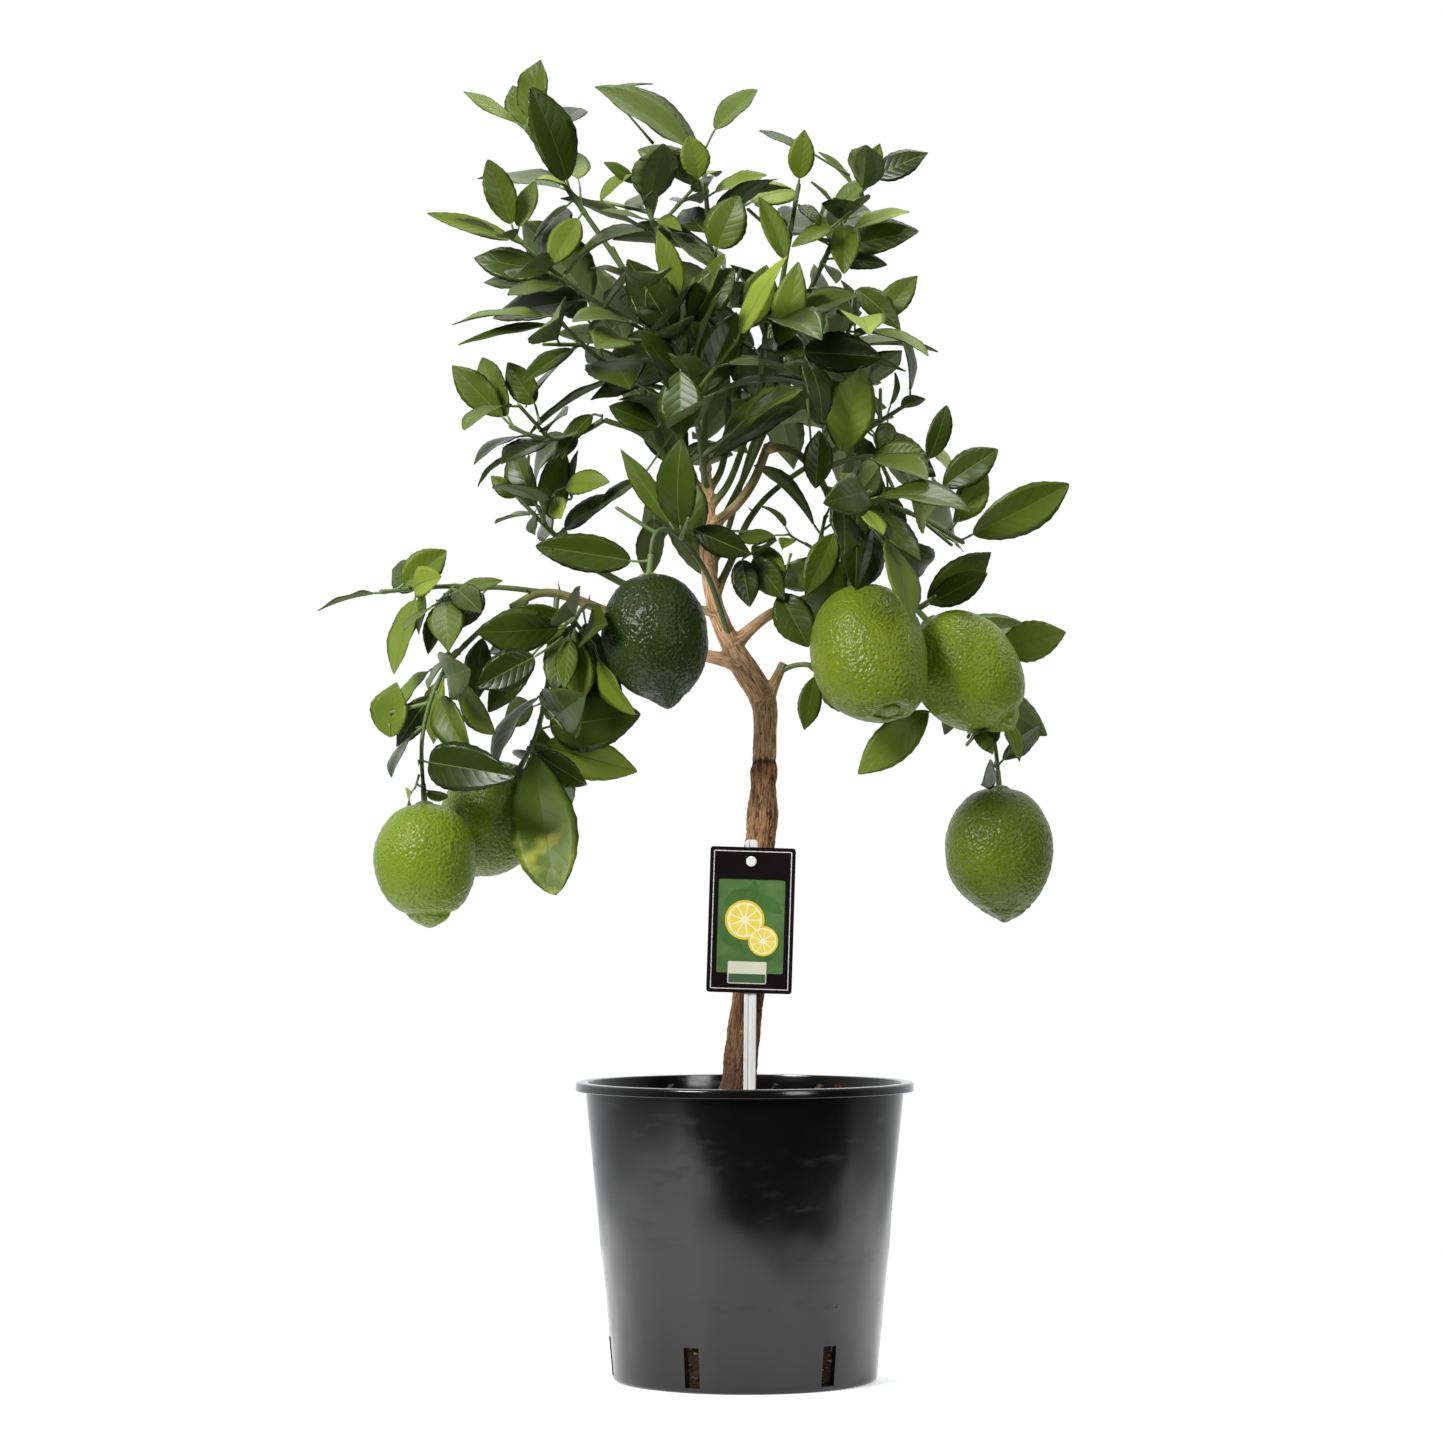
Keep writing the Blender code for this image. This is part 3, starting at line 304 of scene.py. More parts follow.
# Twigs: angles in degrees, and parts of a length as shares
GOLDEN = math.radians(137.5)
STEM_STEPS = 4
STEM_RADII = (1.9 * MM, 1.3 * MM)
SHOOT_STEPS = 1
SHOOT_RADII = (1.4 * MM, 1.1 * MM)
SHOOT_SPREAD = (38, 62)
SHOOT_LENGTHS = (0.7, 1.15)
SHOOT_SAG = 0.08
LAST_SHOOT = 0.86
TWIG_CLEAR = 0.8 * MM
TRIES = 8

# Leaves
FIRST_LEAF = 0.12
LAST_LEAF = 0.97
INTERNODE = 17 * MM
PETIOLE = 9 * MM
PETIOLE_LENGTHS = (0.7, 1.15)
PETIOLE_SHARE = 0.16
STALK_HALF = 0.5 * MM
LEAF_LENGTHS = (0.72, 1.18)
LEAF_WIDTHS = (0.44, 0.56)
LEAF_BEND = (8, 46)
LEAF_FOLD = (4, 20)
LEAF_ROLL = 35
LEAF_SPREAD = (38, 68)
TIP_SPREAD = (5, 20)
OUTER_BEND = (10, 32)
OUTER_FOLD = (3, 16)
OUTER_ROLL = 25
OUTER_SWING = 18 * MM
FACET_PLACES = (0, 0.27, 0.68)
FACET_WIDEN = 1.1
KEEL = 0.024
JOINED_PART = 0.3
LEAF_CLEAR = 1.0 * MM
BACK_HALF = 35 * MM
CROWN_HEART = Vector((-20, 0, 560)) * MM
EYE = Vector((0, -2560, 311)) * MM

# Fruit: its outline as (share of the half width, share of the length)
FRUIT_SIDES = 8
FRUIT_SINK = 3 * MM
FRUIT_OUTLINE = ((0.34, 0.012), (0.76, 0.13), (1.0, 0.42), (0.86, 0.70), (0.46, 0.885), (0.17, 0.95))

Limb = namedtuple("Limb", "name parent points radii")
Spray = namedtuple("Spray", "name parent at tip arch shoots shoot leaf bare take")
Fruit = namedtuple("Fruit", "centre axis width length")
Leaf = namedtuple("Leaf", "base turn petiole length width bend fold")
Twig = namedtuple("Twig", "path radii")

# %% Limbs
# Each limb's way in millimetres from the axis of its bearer, and its radius at each point or at its ends.
LIMBS = [
    Limb(
        "trunk", None,
        [
            (-6, 0, 176.3), (-4.3, 0, 186), (-1, 0, 215), (6.6, 0, 285), (11, 0, 336), (12, 0, 375),
            (13, 0, 411), (11.5, 0, 433), (-5, 0, 461), (-18, 0, 490), (-24, 0, 525), (-23, 0, 557),
            (-25, 0, 580),
        ],
        [13.5, 11.6, 10.8, 9.9, 9.6, 8.6, 7.4, 8.3, 7.0, 5.6, 4.8, 4.3, 3.4],
    ),
    Limb("cut_stub", "trunk", [(12, 0, 429), (18, -1, 441), (25, -2, 456)], [4.4, 2.9]),
    Limb(
        "left_bough", "trunk",
        [(-3, 0, 456), (-40, 8, 466), (-88, 4, 489), (-126, -4, 501), (-150, -10, 491)], [4.4, 2.4],
    ),
    Limb(
        "right_bough", "trunk",
        [(-8, 0, 467), (17, 6, 488), (52, 14, 501), (80, 8, 500), (106, -6, 492)], [4.0, 2.4],
    ),
    Limb("left_low_limb", "trunk", [(-18, 0, 488), (-45, 14, 496), (-72, 14, 505), (-95, 8, 516)], [2.6, 1.9]),
    Limb(
        "upper_right_limb", "trunk",
        [(-19, 0, 500), (-8, 12, 524), (4, 22, 552), (27, 28, 576), (83, 36, 612)], [2.8, 1.7],
    ),
    Limb("back_right_limb", "trunk", [(-23, 0, 520), (-14, 24, 534), (4, 78, 602)], [2.6, 1.8]),
    Limb(
        "crown_outer_limb", "trunk",
        [(-24, 0, 534), (-14, 11, 550), (6, 25, 592), (27, 32, 645), (37, 30, 700)], [2.6, 1.7],
    ),
    Limb("back_left_limb", "trunk", [(-24, 0, 541), (-38, 20, 556), (-66, 68, 628)], [2.6, 1.8]),
    Limb("arch_rise", "trunk", [(-23, 0, 543), (-6, -8, 556), (6, -16, 572), (15, -24, 594)], [3.4, 2.9]),
    Limb(
        "arch_fall", "arch_rise",
        [(15, -24, 592), (29, -30, 590), (42, -36, 579), (50, -40, 566), (55, -44, 553)], [2.9, 2.2],
    ),
    Limb(
        "left_mid_limb", "trunk",
        [(-24, 0, 552), (-38, -5, 572), (-64, -10, 601), (-90, -14, 611)], [2.6, 1.9],
    ),
    Limb(
        "crown_far_limb", "trunk",
        [(-23, 0, 556), (-10, -2, 572), (3, 1, 608), (15, 6, 650), (24, 12, 698)], [2.6, 1.7],
    ),
    Limb(
        "crown_left_limb", "trunk",
        [(-24, 0, 563), (-34, 6, 577), (-43, 8, 606), (-55, 9, 655), (-70, 10, 695), (-86, 8, 726)], [2.9, 1.7],
    ),
    Limb(
        "crown_right_limb", "trunk",
        [(-24, 0, 566), (-15, 9, 582), (-11, 15, 610), (-12, 18, 655), (-20, 14, 697)], [2.6, 1.7],
    ),
    Limb(
        "crown_centre_limb", "trunk",
        [(-25, 0, 580), (-26, -2, 600), (-28, -4, 640), (-38, 0, 680), (-57, 6, 728)], [3.0, 1.7],
    ),
]

# %% Fruit and masses of foliage
# Each fruit's middle in millimetres, its way from stalk to nipple, and its size. It ends the mass of its name.
FRUITS = {
    "left_hanging": Fruit((-204.6, -42, 333), (0.02, 0, -1), 65, 81),
    "left_inner": Fruit((-166, 16, 355), (-0.5, 0.25, -0.83), 66, 82),
    "dark_fruit": Fruit((-56, -66, 465), (0.12, -0.1, -1), 67, 86),
    "front_fruit": Fruit((77, -48, 459), (0.1, -0.25, -1), 72, 87),
    "side_fruit": Fruit((143, -14, 451), (0.62, -0.05, -0.8), 66, 82),
    "low_fruit": Fruit((162, 20, 336), (-0.03, 0, -1), 67, 86),
}

# Each mass: the limb that bears it and the share of its way there, its stem's tip and arch in millimetres,
# its side shoots and their length, its leaves' length, the bare share of its stem, and its throw of the dice.
SPRAYS = [
    Spray("top_left", "crown_left_limb", 1.0, (-142, 2, 803), (0, 0, 0), 1, 32, 58, 0.3, 1),
    Spray("left_high", "crown_left_limb", 0.66, (-149, -8, 732), (0, 0, -8), 1, 34, 54, 0.35, 1),
    Spray("left_shoulder", "crown_left_limb", 0.4, (-122, -24, 678), (0, 0, -10), 2, 34, 58, 0.3, 1),
    Spray("left_mid", "left_mid_limb", 1.0, (-150, -14, 607), (0, 0, -10), 1, 34, 54, 0.3, 1),
    Spray("left_low", "left_low_limb", 1.0, (-145, 2, 562), (0, 0, -6), 1, 34, 52, 0.3, 1),
    Spray("left_tip", "left_bough", 1.0, (-232, -22, 500), (0, 0, 4), 1, 24, 46, 0.2, 1),
    Spray("left_hanging", "left_bough", 0.92, None, (-14, -4, 16), 2, 34, 54, 0.15, 1),
    Spray("left_inner", "left_bough", 0.78, None, (4, -8, -4), 1, 30, 60, 0.5, 1),
    Spray("left_cover", "left_bough", 0.62, (-110, -38, 474), (0, 0, 6), 2, 34, 58, 0.3, 1),
    Spray("dark_fruit", "trunk", 0.72, None, (0, -12, 44), 2, 30, 54, 0.45, 1),
    Spray("core_front", "trunk", 0.97, (-34, -70, 640), (0, -8, -4), 4, 44, 62, 0.2, 1),
    Spray("core_left", "crown_centre_limb", 0.35, (-72, -54, 668), (0, 0, 4), 4, 42, 62, 0.2, 1),
    Spray("core_right", "crown_far_limb", 0.5, (14, -52, 668), (0, 0, 4), 4, 44, 62, 0.2, 1),
    Spray("top_centre", "crown_centre_limb", 1.0, (-68, 0, 764), (0, 0, 2), 3, 36, 60, 0.2, 1),
    Spray("top_mid", "crown_right_limb", 1.0, (-27, 4, 784), (0, 0, 2), 2, 36, 56, 0.2, 1),
    Spray("top_inner", "crown_far_limb", 1.0, (35, 0, 765), (0, 0, 2), 1, 34, 54, 0.3, 1),
    Spray("top_right", "crown_outer_limb", 1.0, (78, 22, 772), (0, 0, 2), 1, 34, 56, 0.2, 1),
    Spray("right_high", "crown_outer_limb", 0.62, (84, 6, 672), (0, 0, 6), 2, 36, 60, 0.2, 1),
    Spray("right_shoulder", "upper_right_limb", 1.0, (108, 22, 627), (0, 0, 0), 1, 30, 54, 0.2, 1),
    Spray("right_out", "arch_fall", 0.6, (119, -32, 576), (0, 0, 10), 2, 34, 58, 0.4, 1),
    Spray("right_out_low", "arch_fall", 0.8, (139, -26, 531), (0, 0, 6), 1, 30, 58, 0.55, 1),
    Spray("right_cover", "arch_fall", 0.92, (86, -76, 534), (0, 0, 6), 3, 34, 54, 0.15, 1),
    Spray("front_fruit", "arch_fall", 1.0, None, (0, 0, -4), 1, 26, 50, 0.2, 1),
    Spray("side_fruit", "right_bough", 1.0, None, (0, 0, 2), 2, 30, 52, 0.1, 1),
    Spray("low_fruit", "right_bough", 0.86, None, (8, 34, 10), 1, 30, 48, 0.3, 1),
    Spray("low_right", "cut_stub", 0.6, (46, -8, 453), (0, 0, 3), 1, 22, 46, 0.6, 1),
    Spray("right_inner", "right_bough", 0.42, (50, -14, 536), (0, 0, 4), 2, 30, 50, 0.4, 1),
    Spray("back_right", "back_right_limb", 1.0, (30, 112, 650), (0, 0, 6), 4, 42, 60, 0.15, 1),
    Spray("back_left", "back_left_limb", 1.0, (-78, 104, 682), (0, 0, 6), 4, 42, 60, 0.15, 1),
    Spray("back_top", "crown_right_limb", 0.5, (-14, 78, 730), (0, 0, 6), 4, 40, 58, 0.2, 1),
    Spray("back_outer", "upper_right_limb", 0.7, (78, 86, 650), (0, 0, 6), 3, 40, 58, 0.2, 1),
    Spray("back_low", "back_left_limb", 0.4, (-44, 98, 590), (0, 0, 4), 3, 38, 52, 0.3, 1),
]

# %% The crown's outline and its gaps
# The leaves that draw the crown's outline: the share of the mass's stem where each springs, and its tip in
# millimetres.
OUTER_LEAVES = {
    "top_left": [
        (0.97, (-131, -6, 845)), (0.97, (-181, 4, 827)), (0.9, (-152, 16, 834)),
        (0.45, (-134, -22, 826)), (0.4, (-137, 12, 730)), (0.3, (-121, -14, 706)),
    ],
    "left_high": [
        (0.97, (-163, -16, 779)), (0.97, (-133, 2, 767)), (0.9, (-205, -6, 744)),
        (0.8, (-125, -26, 705)), (0.6, (-175, 8, 718)),
    ],
    "left_shoulder": [(0.97, (-187, -20, 671)), (0.9, (-182, -36, 655)), (0.7, (-140, -42, 629))],
    "left_mid": [(0.97, (-189, -10, 645)), (0.95, (-170, 8, 653)), (0.3, (-113, -38, 582))],
    "left_low": [
        (0.97, (-164, 6, 577)), (0.55, (-110, -10, 595)),
        (0.5, (-80, -14, 562)), (0.8, (-133, -16, 536)),
    ],
    "left_tip": [
        (0.9, (-189, -22, 526)), (0.8, (-196, -38, 514)), (0.75, (-221, -40, 446)),
        (0.7, (-209, -8, 474)), (0.35, (-153, -30, 510)), (0.3, (-185, -36, 470)),
    ],
    "left_hanging": [
        (0.8, (-240, -26, 434)), (0.85, (-140, -78, 383)),
        (0.5, (-222, -14, 402)), (0.7, (-222, -66, 378)),
    ],
    "left_inner": [
        (0.8, (-113, -52, 310)), (0.72, (-66, -12, 428)), (0.8, (-68, 10, 388)),
        (0.84, (-100, -20, 376)), (0.6, (-106, -14, 450)),
    ],
    "left_cover": [(0.97, (-112, -56, 436)), (0.9, (-170, -58, 472)), (0.8, (-148, -34, 487))],
    "dark_fruit": [(0.8, (-135, -48, 535)), (0.75, (-127, -24, 545)), (0.6, (-78, -40, 590))],
    "top_mid": [
        (0.97, (-96, -14, 828)), (0.95, (-70, 14, 839)), (0.93, (8, -4, 823)), (0.85, (-28, -30, 752)),
    ],
    "top_centre": [(0.97, (-91, -8, 778)), (0.9, (-64, 22, 786))],
    "top_inner": [
        (0.97, (37, -10, 799)), (0.9, (8, 6, 801)), (0.85, (49, -8, 735)), (0.6, (5, -22, 748)),
    ],
    "top_right": [
        (0.97, (120, 16, 787)), (0.97, (94, 28, 799)), (0.9, (48, 20, 790)), (0.8, (86, 0, 770)),
        (0.4, (113, 10, 734)), (0.35, (93, 30, 715)), (0.45, (29, -6, 732)), (0.3, (62, -2, 698)),
    ],
    "right_high": [(0.97, (111, 10, 708)), (0.8, (60, -14, 700))],
    "right_shoulder": [(0.97, (97, 8, 672))],
    "right_out": [(0.93, (128, -38, 618)), (0.97, (162, -34, 591)), (0.4, (112, -48, 588))],
    "right_out_low": [(0.97, (207, -28, 567)), (0.85, (154, -12, 576))],
    "side_fruit": [(0.3, (156, -18, 512)), (0.2, (158, 14, 530))],
    "low_fruit": [(0.55, (207, 24, 478)), (0.6, (69, 8, 388)), (0.9, (192, 8, 418))],
    "low_right": [(0.97, (37, -22, 412))],
}

# Where the sky shows between the leaves from the front: each gap's middle (x, z) and radius in millimetres.
SKY = [
    (-90, 602, 22), (-87, 545, 18), (126, 686, 22), (6, 500, 14), (-2, 782, 14), (-150, 645, 10),
    (-48, 505, 10),
]
print("limbs:", len(LIMBS), "fruit:", len(FRUITS), "masses of foliage:", len(SPRAYS))

# %% [markdown]
# ## Plain shapes to grow with
# Growing needs to know what is already there. Each limb, twig, leaf and fruit is therefore first made as a plain
# shape of a few faces, and a tree of those faces answers quickly whether a new one would run into them.


# %% Paths
def through(points, radii, step=PATH_STEP):
    """A smooth path through points in millimetres, with its radius at each place."""
    points = [Vector(p) * MM for p in points]
    if len(radii) == 2:
        radii = [radii[0] + (radii[1] - radii[0]) * i / (len(points) - 1) for i in range(len(points))]
    ends = [2 * points[0] - points[1], *points, 2 * points[-1] - points[-2]]
    path, widths = [], []
    for i in range(len(points) - 1):
        a, b, c, d = ends[i : i + 4]
        pieces = max(1, round((c - b).length / step))
        for k in range(pieces):
            t = k / pieces
            square, cube = 2 * a - 5 * b + 4 * c - d, 3 * b - a - 3 * c + d
            path.append(0.5 * (2 * b + (c - a) * t + square * t * t + cube * t**3))
            widths.append((radii[i] + (radii[i + 1] - radii[i]) * t) * MM)
    return [*path, points[-1]], [*widths, radii[-1] * MM]


def along(path, share):
    """The point at this share of a path's length, and the path's direction there."""
    left = share * sum((b - a).length for a, b in zip(path, path[1:]))
    for a, b in zip(path, path[1:]):
        piece = (b - a).length
        if left <= piece:
            break
        left -= piece
    return a.lerp(b, min(left / piece, 1)), (b - a).normalized()


def curve(start, leave, arrive, end, steps):
    """A path from start to end that sets off towards leave and comes in from arrive."""
    return [
        start * (1 - t) ** 3 + leave * (3 * t * (1 - t) ** 2) + arrive * (3 * t * t * (1 - t)) + end * t**3
        for t in (k / steps for k in range(steps + 1))
    ]


def square_to(direction):
    """Two directions square to this one, the first the upper one."""
    lean = Vector((0, -1, 0)) if abs(direction.z) > 0.95 else UP
    first = (lean - direction * lean.dot(direction)).normalized()
    return first, direction.cross(first)


def tapered(radii, steps):
    return [radii[0] + (radii[1] - radii[0]) * k / steps for k in range(steps + 1)]


# %% Tubes, and room between them
def tube(path, radii, sides):
    """Points and faces of a closed tube along a path."""
    points, faces = [], []
    first = square_to((path[1] - path[0]).normalized())[0]
    for i, (place, radius) in enumerate(zip(path, radii)):
        ahead = (path[min(i + 1, len(path) - 1)] - path[max(i - 1, 0)]).normalized()
        first = (first - ahead * first.dot(ahead)).normalized()
        second = ahead.cross(first)
        for k in range(sides):
            turn = math.tau * k / sides
            points.append(place + (first * math.cos(turn) + second * math.sin(turn)) * radius)
    for i in range(len(path) - 1):
        for k in range(sides):
            here, beside = i * sides + k, i * sides + (k + 1) % sides
            faces.append((here, beside, beside + sides, here + sides))
    last = (len(path) - 1) * sides
    faces.append(tuple(reversed(range(sides))))
    faces.append(tuple(range(last, last + sides)))
    return points, faces


def tree_of(shape):
    return BVHTree.FromPolygons([tuple(p) for p in shape[0]], shape[1])


def outside(point, tree, clear=0.0):
    """Whether the point is outside the closed shape, and this far from it."""
    place, normal, _, distance = tree.find_nearest(point)
    return (point - place).dot(normal) > 0 and distance >= clear


def trimmed(path, radii, sides, bearer):
    """The path and radii without their start, cut where a tube first clears the limb that bears it."""
    for i in range((len(path) - 1) * TRIM_STEPS):
        whole, part = divmod(i, TRIM_STEPS)
        share = part / TRIM_STEPS
        ahead = whole + (2 if 1 - share < SHORTEST_PIECE and whole + 2 < len(path) else 1)
        way = [path[whole].lerp(path[whole + 1], share), *path[ahead:]]
        widths = [radii[whole] + (radii[whole + 1] - radii[whole]) * share, *radii[ahead:]]
        if all(outside(p, bearer, GAP) for p in tube(way, widths, sides)[0]):
            if not tree_of(tube(way, [width + GAP for width in widths], sides)).overlap(bearer):
                return way, widths
    raise ValueError("a path never leaves the limb that bears it")


# %% Plain leaves and fruit
def half_width(share):
    """A leaf's half width at a share of its blade, as a part of the greatest one."""
    return math.sin(math.pi * share**0.88) ** 0.78 if 0 < share < 1 else 0.0


def on_leaf(leaf, share, side=0.0, lift=0.0):
    """The place at a share of a leaf's blade, this far to the side of its midrib and above it.

    The straight stalk runs from share -1, at the twig, to share 0.
    """
    turned = leaf.bend * max(share, 0)
    raised = lift + abs(side) * math.tan(leaf.fold)
    radius = leaf.length / leaf.bend
    forward = leaf.petiole * min(1 + share, 1) + (radius + raised) * math.sin(turned)
    upward = raised * math.cos(turned) - radius * (1 - math.cos(turned))
    return leaf.base + leaf.turn @ Vector((forward, side, upward))


def leaf_shape(leaf, swell=0.0, start=-1.0):
    """A leaf as a thin three-edged solid: its left edge, right edge and keel at four places, and its tip."""
    points = []
    for share in (start, *FACET_PLACES):
        half = max(half_width(share) * leaf.width / 2 * FACET_WIDEN, STALK_HALF)
        keel = KEEL * leaf.length if share > 0 else STALK_HALF
        points.append(on_leaf(leaf, share, half + swell, swell))
        points.append(on_leaf(leaf, share, -half - swell, swell))
        points.append(on_leaf(leaf, share, 0, -keel - swell))
    points.append(on_leaf(leaf, 1 + swell / leaf.length))
    faces = [(0, 1, 2), (9, 12, 10), (10, 12, 11), (11, 12, 9)]
    for ring in (0, 3, 6):
        for k in range(3):
            a, b = ring + k, ring + (k + 1) % 3
            faces.append((a, a + 3, b + 3, b))
    return points, faces


def covers(leaf, spots, shares=(0.1, 0.25, 0.4, 0.55, 0.7, 0.85, 1), sides=(-0.8, -0.4, 0, 0.4, 0.8)):
    """Whether a leaf covers one of these spots (x, z, radius), seen from the front."""
    for share in shares:
        for side in sides:
            ray = on_leaf(leaf, share, side * half_width(share) * leaf.width / 2) - EYE
            seen = EYE - ray * EYE.y / ray.y
            if any(math.hypot(seen.x - x * MM, seen.z - z * MM) < radius * MM for x, z, radius in spots):
                return True
    return False


def hides_sky(leaf):
    """Whether a leaf would cover one of the crown's gaps."""
    return covers(leaf, SKY, (0, 0.25, 0.5, 0.75, 1), (-1, 0, 1))


def fruit_shape(fruit):
    """A lemon: a lathed body that narrows to a nipple."""
    axis = Vector(fruit.axis).normalized()
    first, second = square_to(axis)
    half, length = fruit.width * MM / 2, fruit.length * MM
    top = Vector(fruit.centre) * MM - axis * length / 2
    points = [top]
    for radius, depth in FRUIT_OUTLINE:
        for k in range(FRUIT_SIDES):
            turn = math.tau * k / FRUIT_SIDES
            outward = first * math.cos(turn) + second * math.sin(turn)
            points.append(top + axis * depth * length + outward * radius * half)
    points.append(top + axis * length)
    faces = []
    lowest = 1 + (len(FRUIT_OUTLINE) - 1) * FRUIT_SIDES
    for k in range(FRUIT_SIDES):
        after = (k + 1) % FRUIT_SIDES
        faces.append((0, 1 + after, 1 + k))
        faces.append((lowest + k, lowest + after, len(points) - 1))
        for ring in range(1, lowest, FRUIT_SIDES):
            a, b = ring + k, ring + after
            faces.append((a, b, b + FRUIT_SIDES, a + FRUIT_SIDES))
    return points, faces


# %% [markdown]
# ## The rule
# A stem leaves its limb for a stated tip, or hangs down into its fruit. Side shoots leave it a golden angle apart,
# and leaves sit along all of them with their upper faces to the light. Where a leaf would run into another or
# cover a gap in the crown, it tries another turn, and after eight tries it isn't grown.


# %% Stems and shoots
def grown_stem(spray, limbs, trees):
    """A mass's own stem, from its limb to its stated tip or into its fruit, cut clear of the limb."""
    start, _ = along(limbs[spray.parent][0], spray.at)
    arch = Vector(spray.arch) * MM * 4 / 3
    if spray.tip:
        end = Vector(spray.tip) * MM
        leave, arrive = start.lerp(end, 1 / 3) + arch, start.lerp(end, 2 / 3) + arch
    else:
        fruit = FRUITS[spray.name]
        axis = Vector(fruit.axis).normalized()
        end = Vector(fruit.centre) * MM - axis * (fruit.length * MM / 2 - FRUIT_SINK)
        leave, arrive = start.lerp(end, 1 / 3) + arch, end - axis * (end - start).length / 3 + arch / 2
    way = curve(start, leave, arrive, end, STEM_STEPS)
    return Twig(*trimmed(way, tapered(STEM_RADII, STEM_STEPS), 3, trees[spray.parent]))


def grown_shoots(spray, stem, rng, fits):
    """The side shoots that the rule sets round a stem, where there is room."""
    shoots = []
    turn = rng.uniform(0, math.tau)
    for i in range(spray.shoots):
        share = spray.bare + (LAST_SHOOT - spray.bare) * (i + rng.uniform(0.2, 0.8)) / spray.shoots
        start, heading = along(stem.path, share)
        first, second = square_to(heading)
        turn += GOLDEN
        for _ in range(TRIES):
            round_stem = turn + rng.uniform(-0.5, 0.5)
            outward = first * math.cos(round_stem) + second * math.sin(round_stem)
            spread = math.radians(rng.uniform(*SHOOT_SPREAD))
            reach = heading * math.cos(spread) + outward * math.sin(spread)
            reach = reach * spray.shoot * MM * rng.uniform(*SHOOT_LENGTHS)
            sag = UP * -SHOOT_SAG * reach.length
            path = curve(start, start + reach / 3 + sag, start + reach * 2 / 3 + sag, start + reach, SHOOT_STEPS)
            shoot = Twig(path, tapered(SHOOT_RADII, SHOOT_STEPS))
            if fits(shoot):
                shoots.append(shoot)
                break
    return shoots


# %% Leaves by chance and leaves by place
def leaf_at(start, heading, turn, spread, size, rng):
    """A leaf that leaves a twig at a turn round it, its upper face towards the light."""
    first, second = square_to(heading)
    outward = first * math.cos(turn) + second * math.sin(turn)
    way = heading * math.cos(spread) + outward * math.sin(spread)
    way = (way - UP * rng.uniform(-0.1, 0.5)).normalized()
    away = (start - CROWN_HEART).normalized()
    side = Vector((0, -1 if start.y < BACK_HALF else 1, 0))
    face = UP * rng.uniform(0.1, 0.8) + away * rng.uniform(0.3, 0.9) + side * rng.uniform(0, 1.0)
    face = (face - way * face.dot(way)).normalized()
    turned = Matrix((way, face.cross(way), face)).transposed()
    turned = turned @ Matrix.Rotation(math.radians(rng.uniform(-LEAF_ROLL, LEAF_ROLL)), 3, "X")
    length = size * rng.uniform(*LEAF_LENGTHS)
    petiole = PETIOLE * rng.uniform(*PETIOLE_LENGTHS)
    width = length * rng.uniform(*LEAF_WIDTHS)
    bend, fold = rng.uniform(*LEAF_BEND), rng.uniform(*LEAF_FOLD)
    return Leaf(start, turned, petiole, length, width, math.radians(bend), math.radians(fold))


def outer_leaf(start, tip, rng):
    """A leaf from a twig to a stated tip, its upper face turned outwards."""
    reach = tip - start
    bend = math.radians(rng.uniform(*OUTER_BEND))
    face = (start - CROWN_HEART).normalized() * 0.5 + Vector((0, 0, rng.uniform(0, 0.5)))
    face -= Vector((0, rng.uniform(0.4, 1.2), 0))
    face = (face - reach * face.dot(reach) / reach.length_squared).normalized()
    way = reach.normalized() * math.cos(bend / 2) + face * math.sin(bend / 2)
    face = (face - way * face.dot(way)).normalized()
    turned = Matrix((way, face.cross(way), face)).transposed()
    turned = turned @ Matrix.Rotation(math.radians(rng.uniform(-OUTER_ROLL, OUTER_ROLL)), 3, "X")
    petiole = min(PETIOLE, PETIOLE_SHARE * reach.length)
    length = reach.length - petiole
    width = length * rng.uniform(*LEAF_WIDTHS)
    return Leaf(start, turned, petiole, length, width, bend, math.radians(rng.uniform(*OUTER_FOLD)))


def grown_outline(spray, stem, rng, fits):
    """The stated outer leaves of a mass, each swung a little where its place is taken."""
    leaves = []
    for share, tip in OUTER_LEAVES.get(spray.name, ()):
        start, _ = along(stem.path, share)
        for attempt in range(TRIES):
            swing = Vector([rng.uniform(-1, 1) for _ in "xyz"]) * OUTER_SWING * attempt / TRIES
            leaf = outer_leaf(start, Vector(tip) * MM + swing, rng)
            if fits(leaf):
                leaves.append(leaf)
                break
    return leaves


def grown_leaves(spray, twigs, rng, fits):
    """The leaves that the rule sets along a mass's twigs, without those that fit nowhere."""
    leaves = []
    for number, twig in enumerate(twigs):
        length = sum((b - a).length for a, b in zip(twig.path, twig.path[1:]))
        bare = FIRST_LEAF if number else spray.bare
        count = max(2, round(length * (1 - bare) / INTERNODE))
        outline = OUTER_LEAVES.get(spray.name, [(0, None)])
        tip_taken = number == 0 and (spray.tip is None or outline[0][0] > 0.9)
        turn = rng.uniform(0, math.tau)
        for i in range(count if tip_taken else count + 1):
            at_tip = i == count
            share = LAST_LEAF if at_tip else bare + (1 - bare) * i / count
            turn += GOLDEN
            start, heading = along(twig.path, share)
            size = spray.leaf * MM * (0.84 + 0.32 * math.sin(math.pi * (0.15 + 0.7 * share)))
            for attempt in range(TRIES):
                spread = math.radians(rng.uniform(*(TIP_SPREAD if at_tip else LEAF_SPREAD)))
                swung = turn + rng.uniform(-0.35, 0.35) * (1 + attempt)
                leaf = leaf_at(start, heading, swung, spread, size, rng)
                if not hides_sky(leaf) and fits(leaf):
                    leaves.append(leaf)
                    break
    return leaves


def touches(tree, others):
    return any(tree.overlap(other) for other in others)


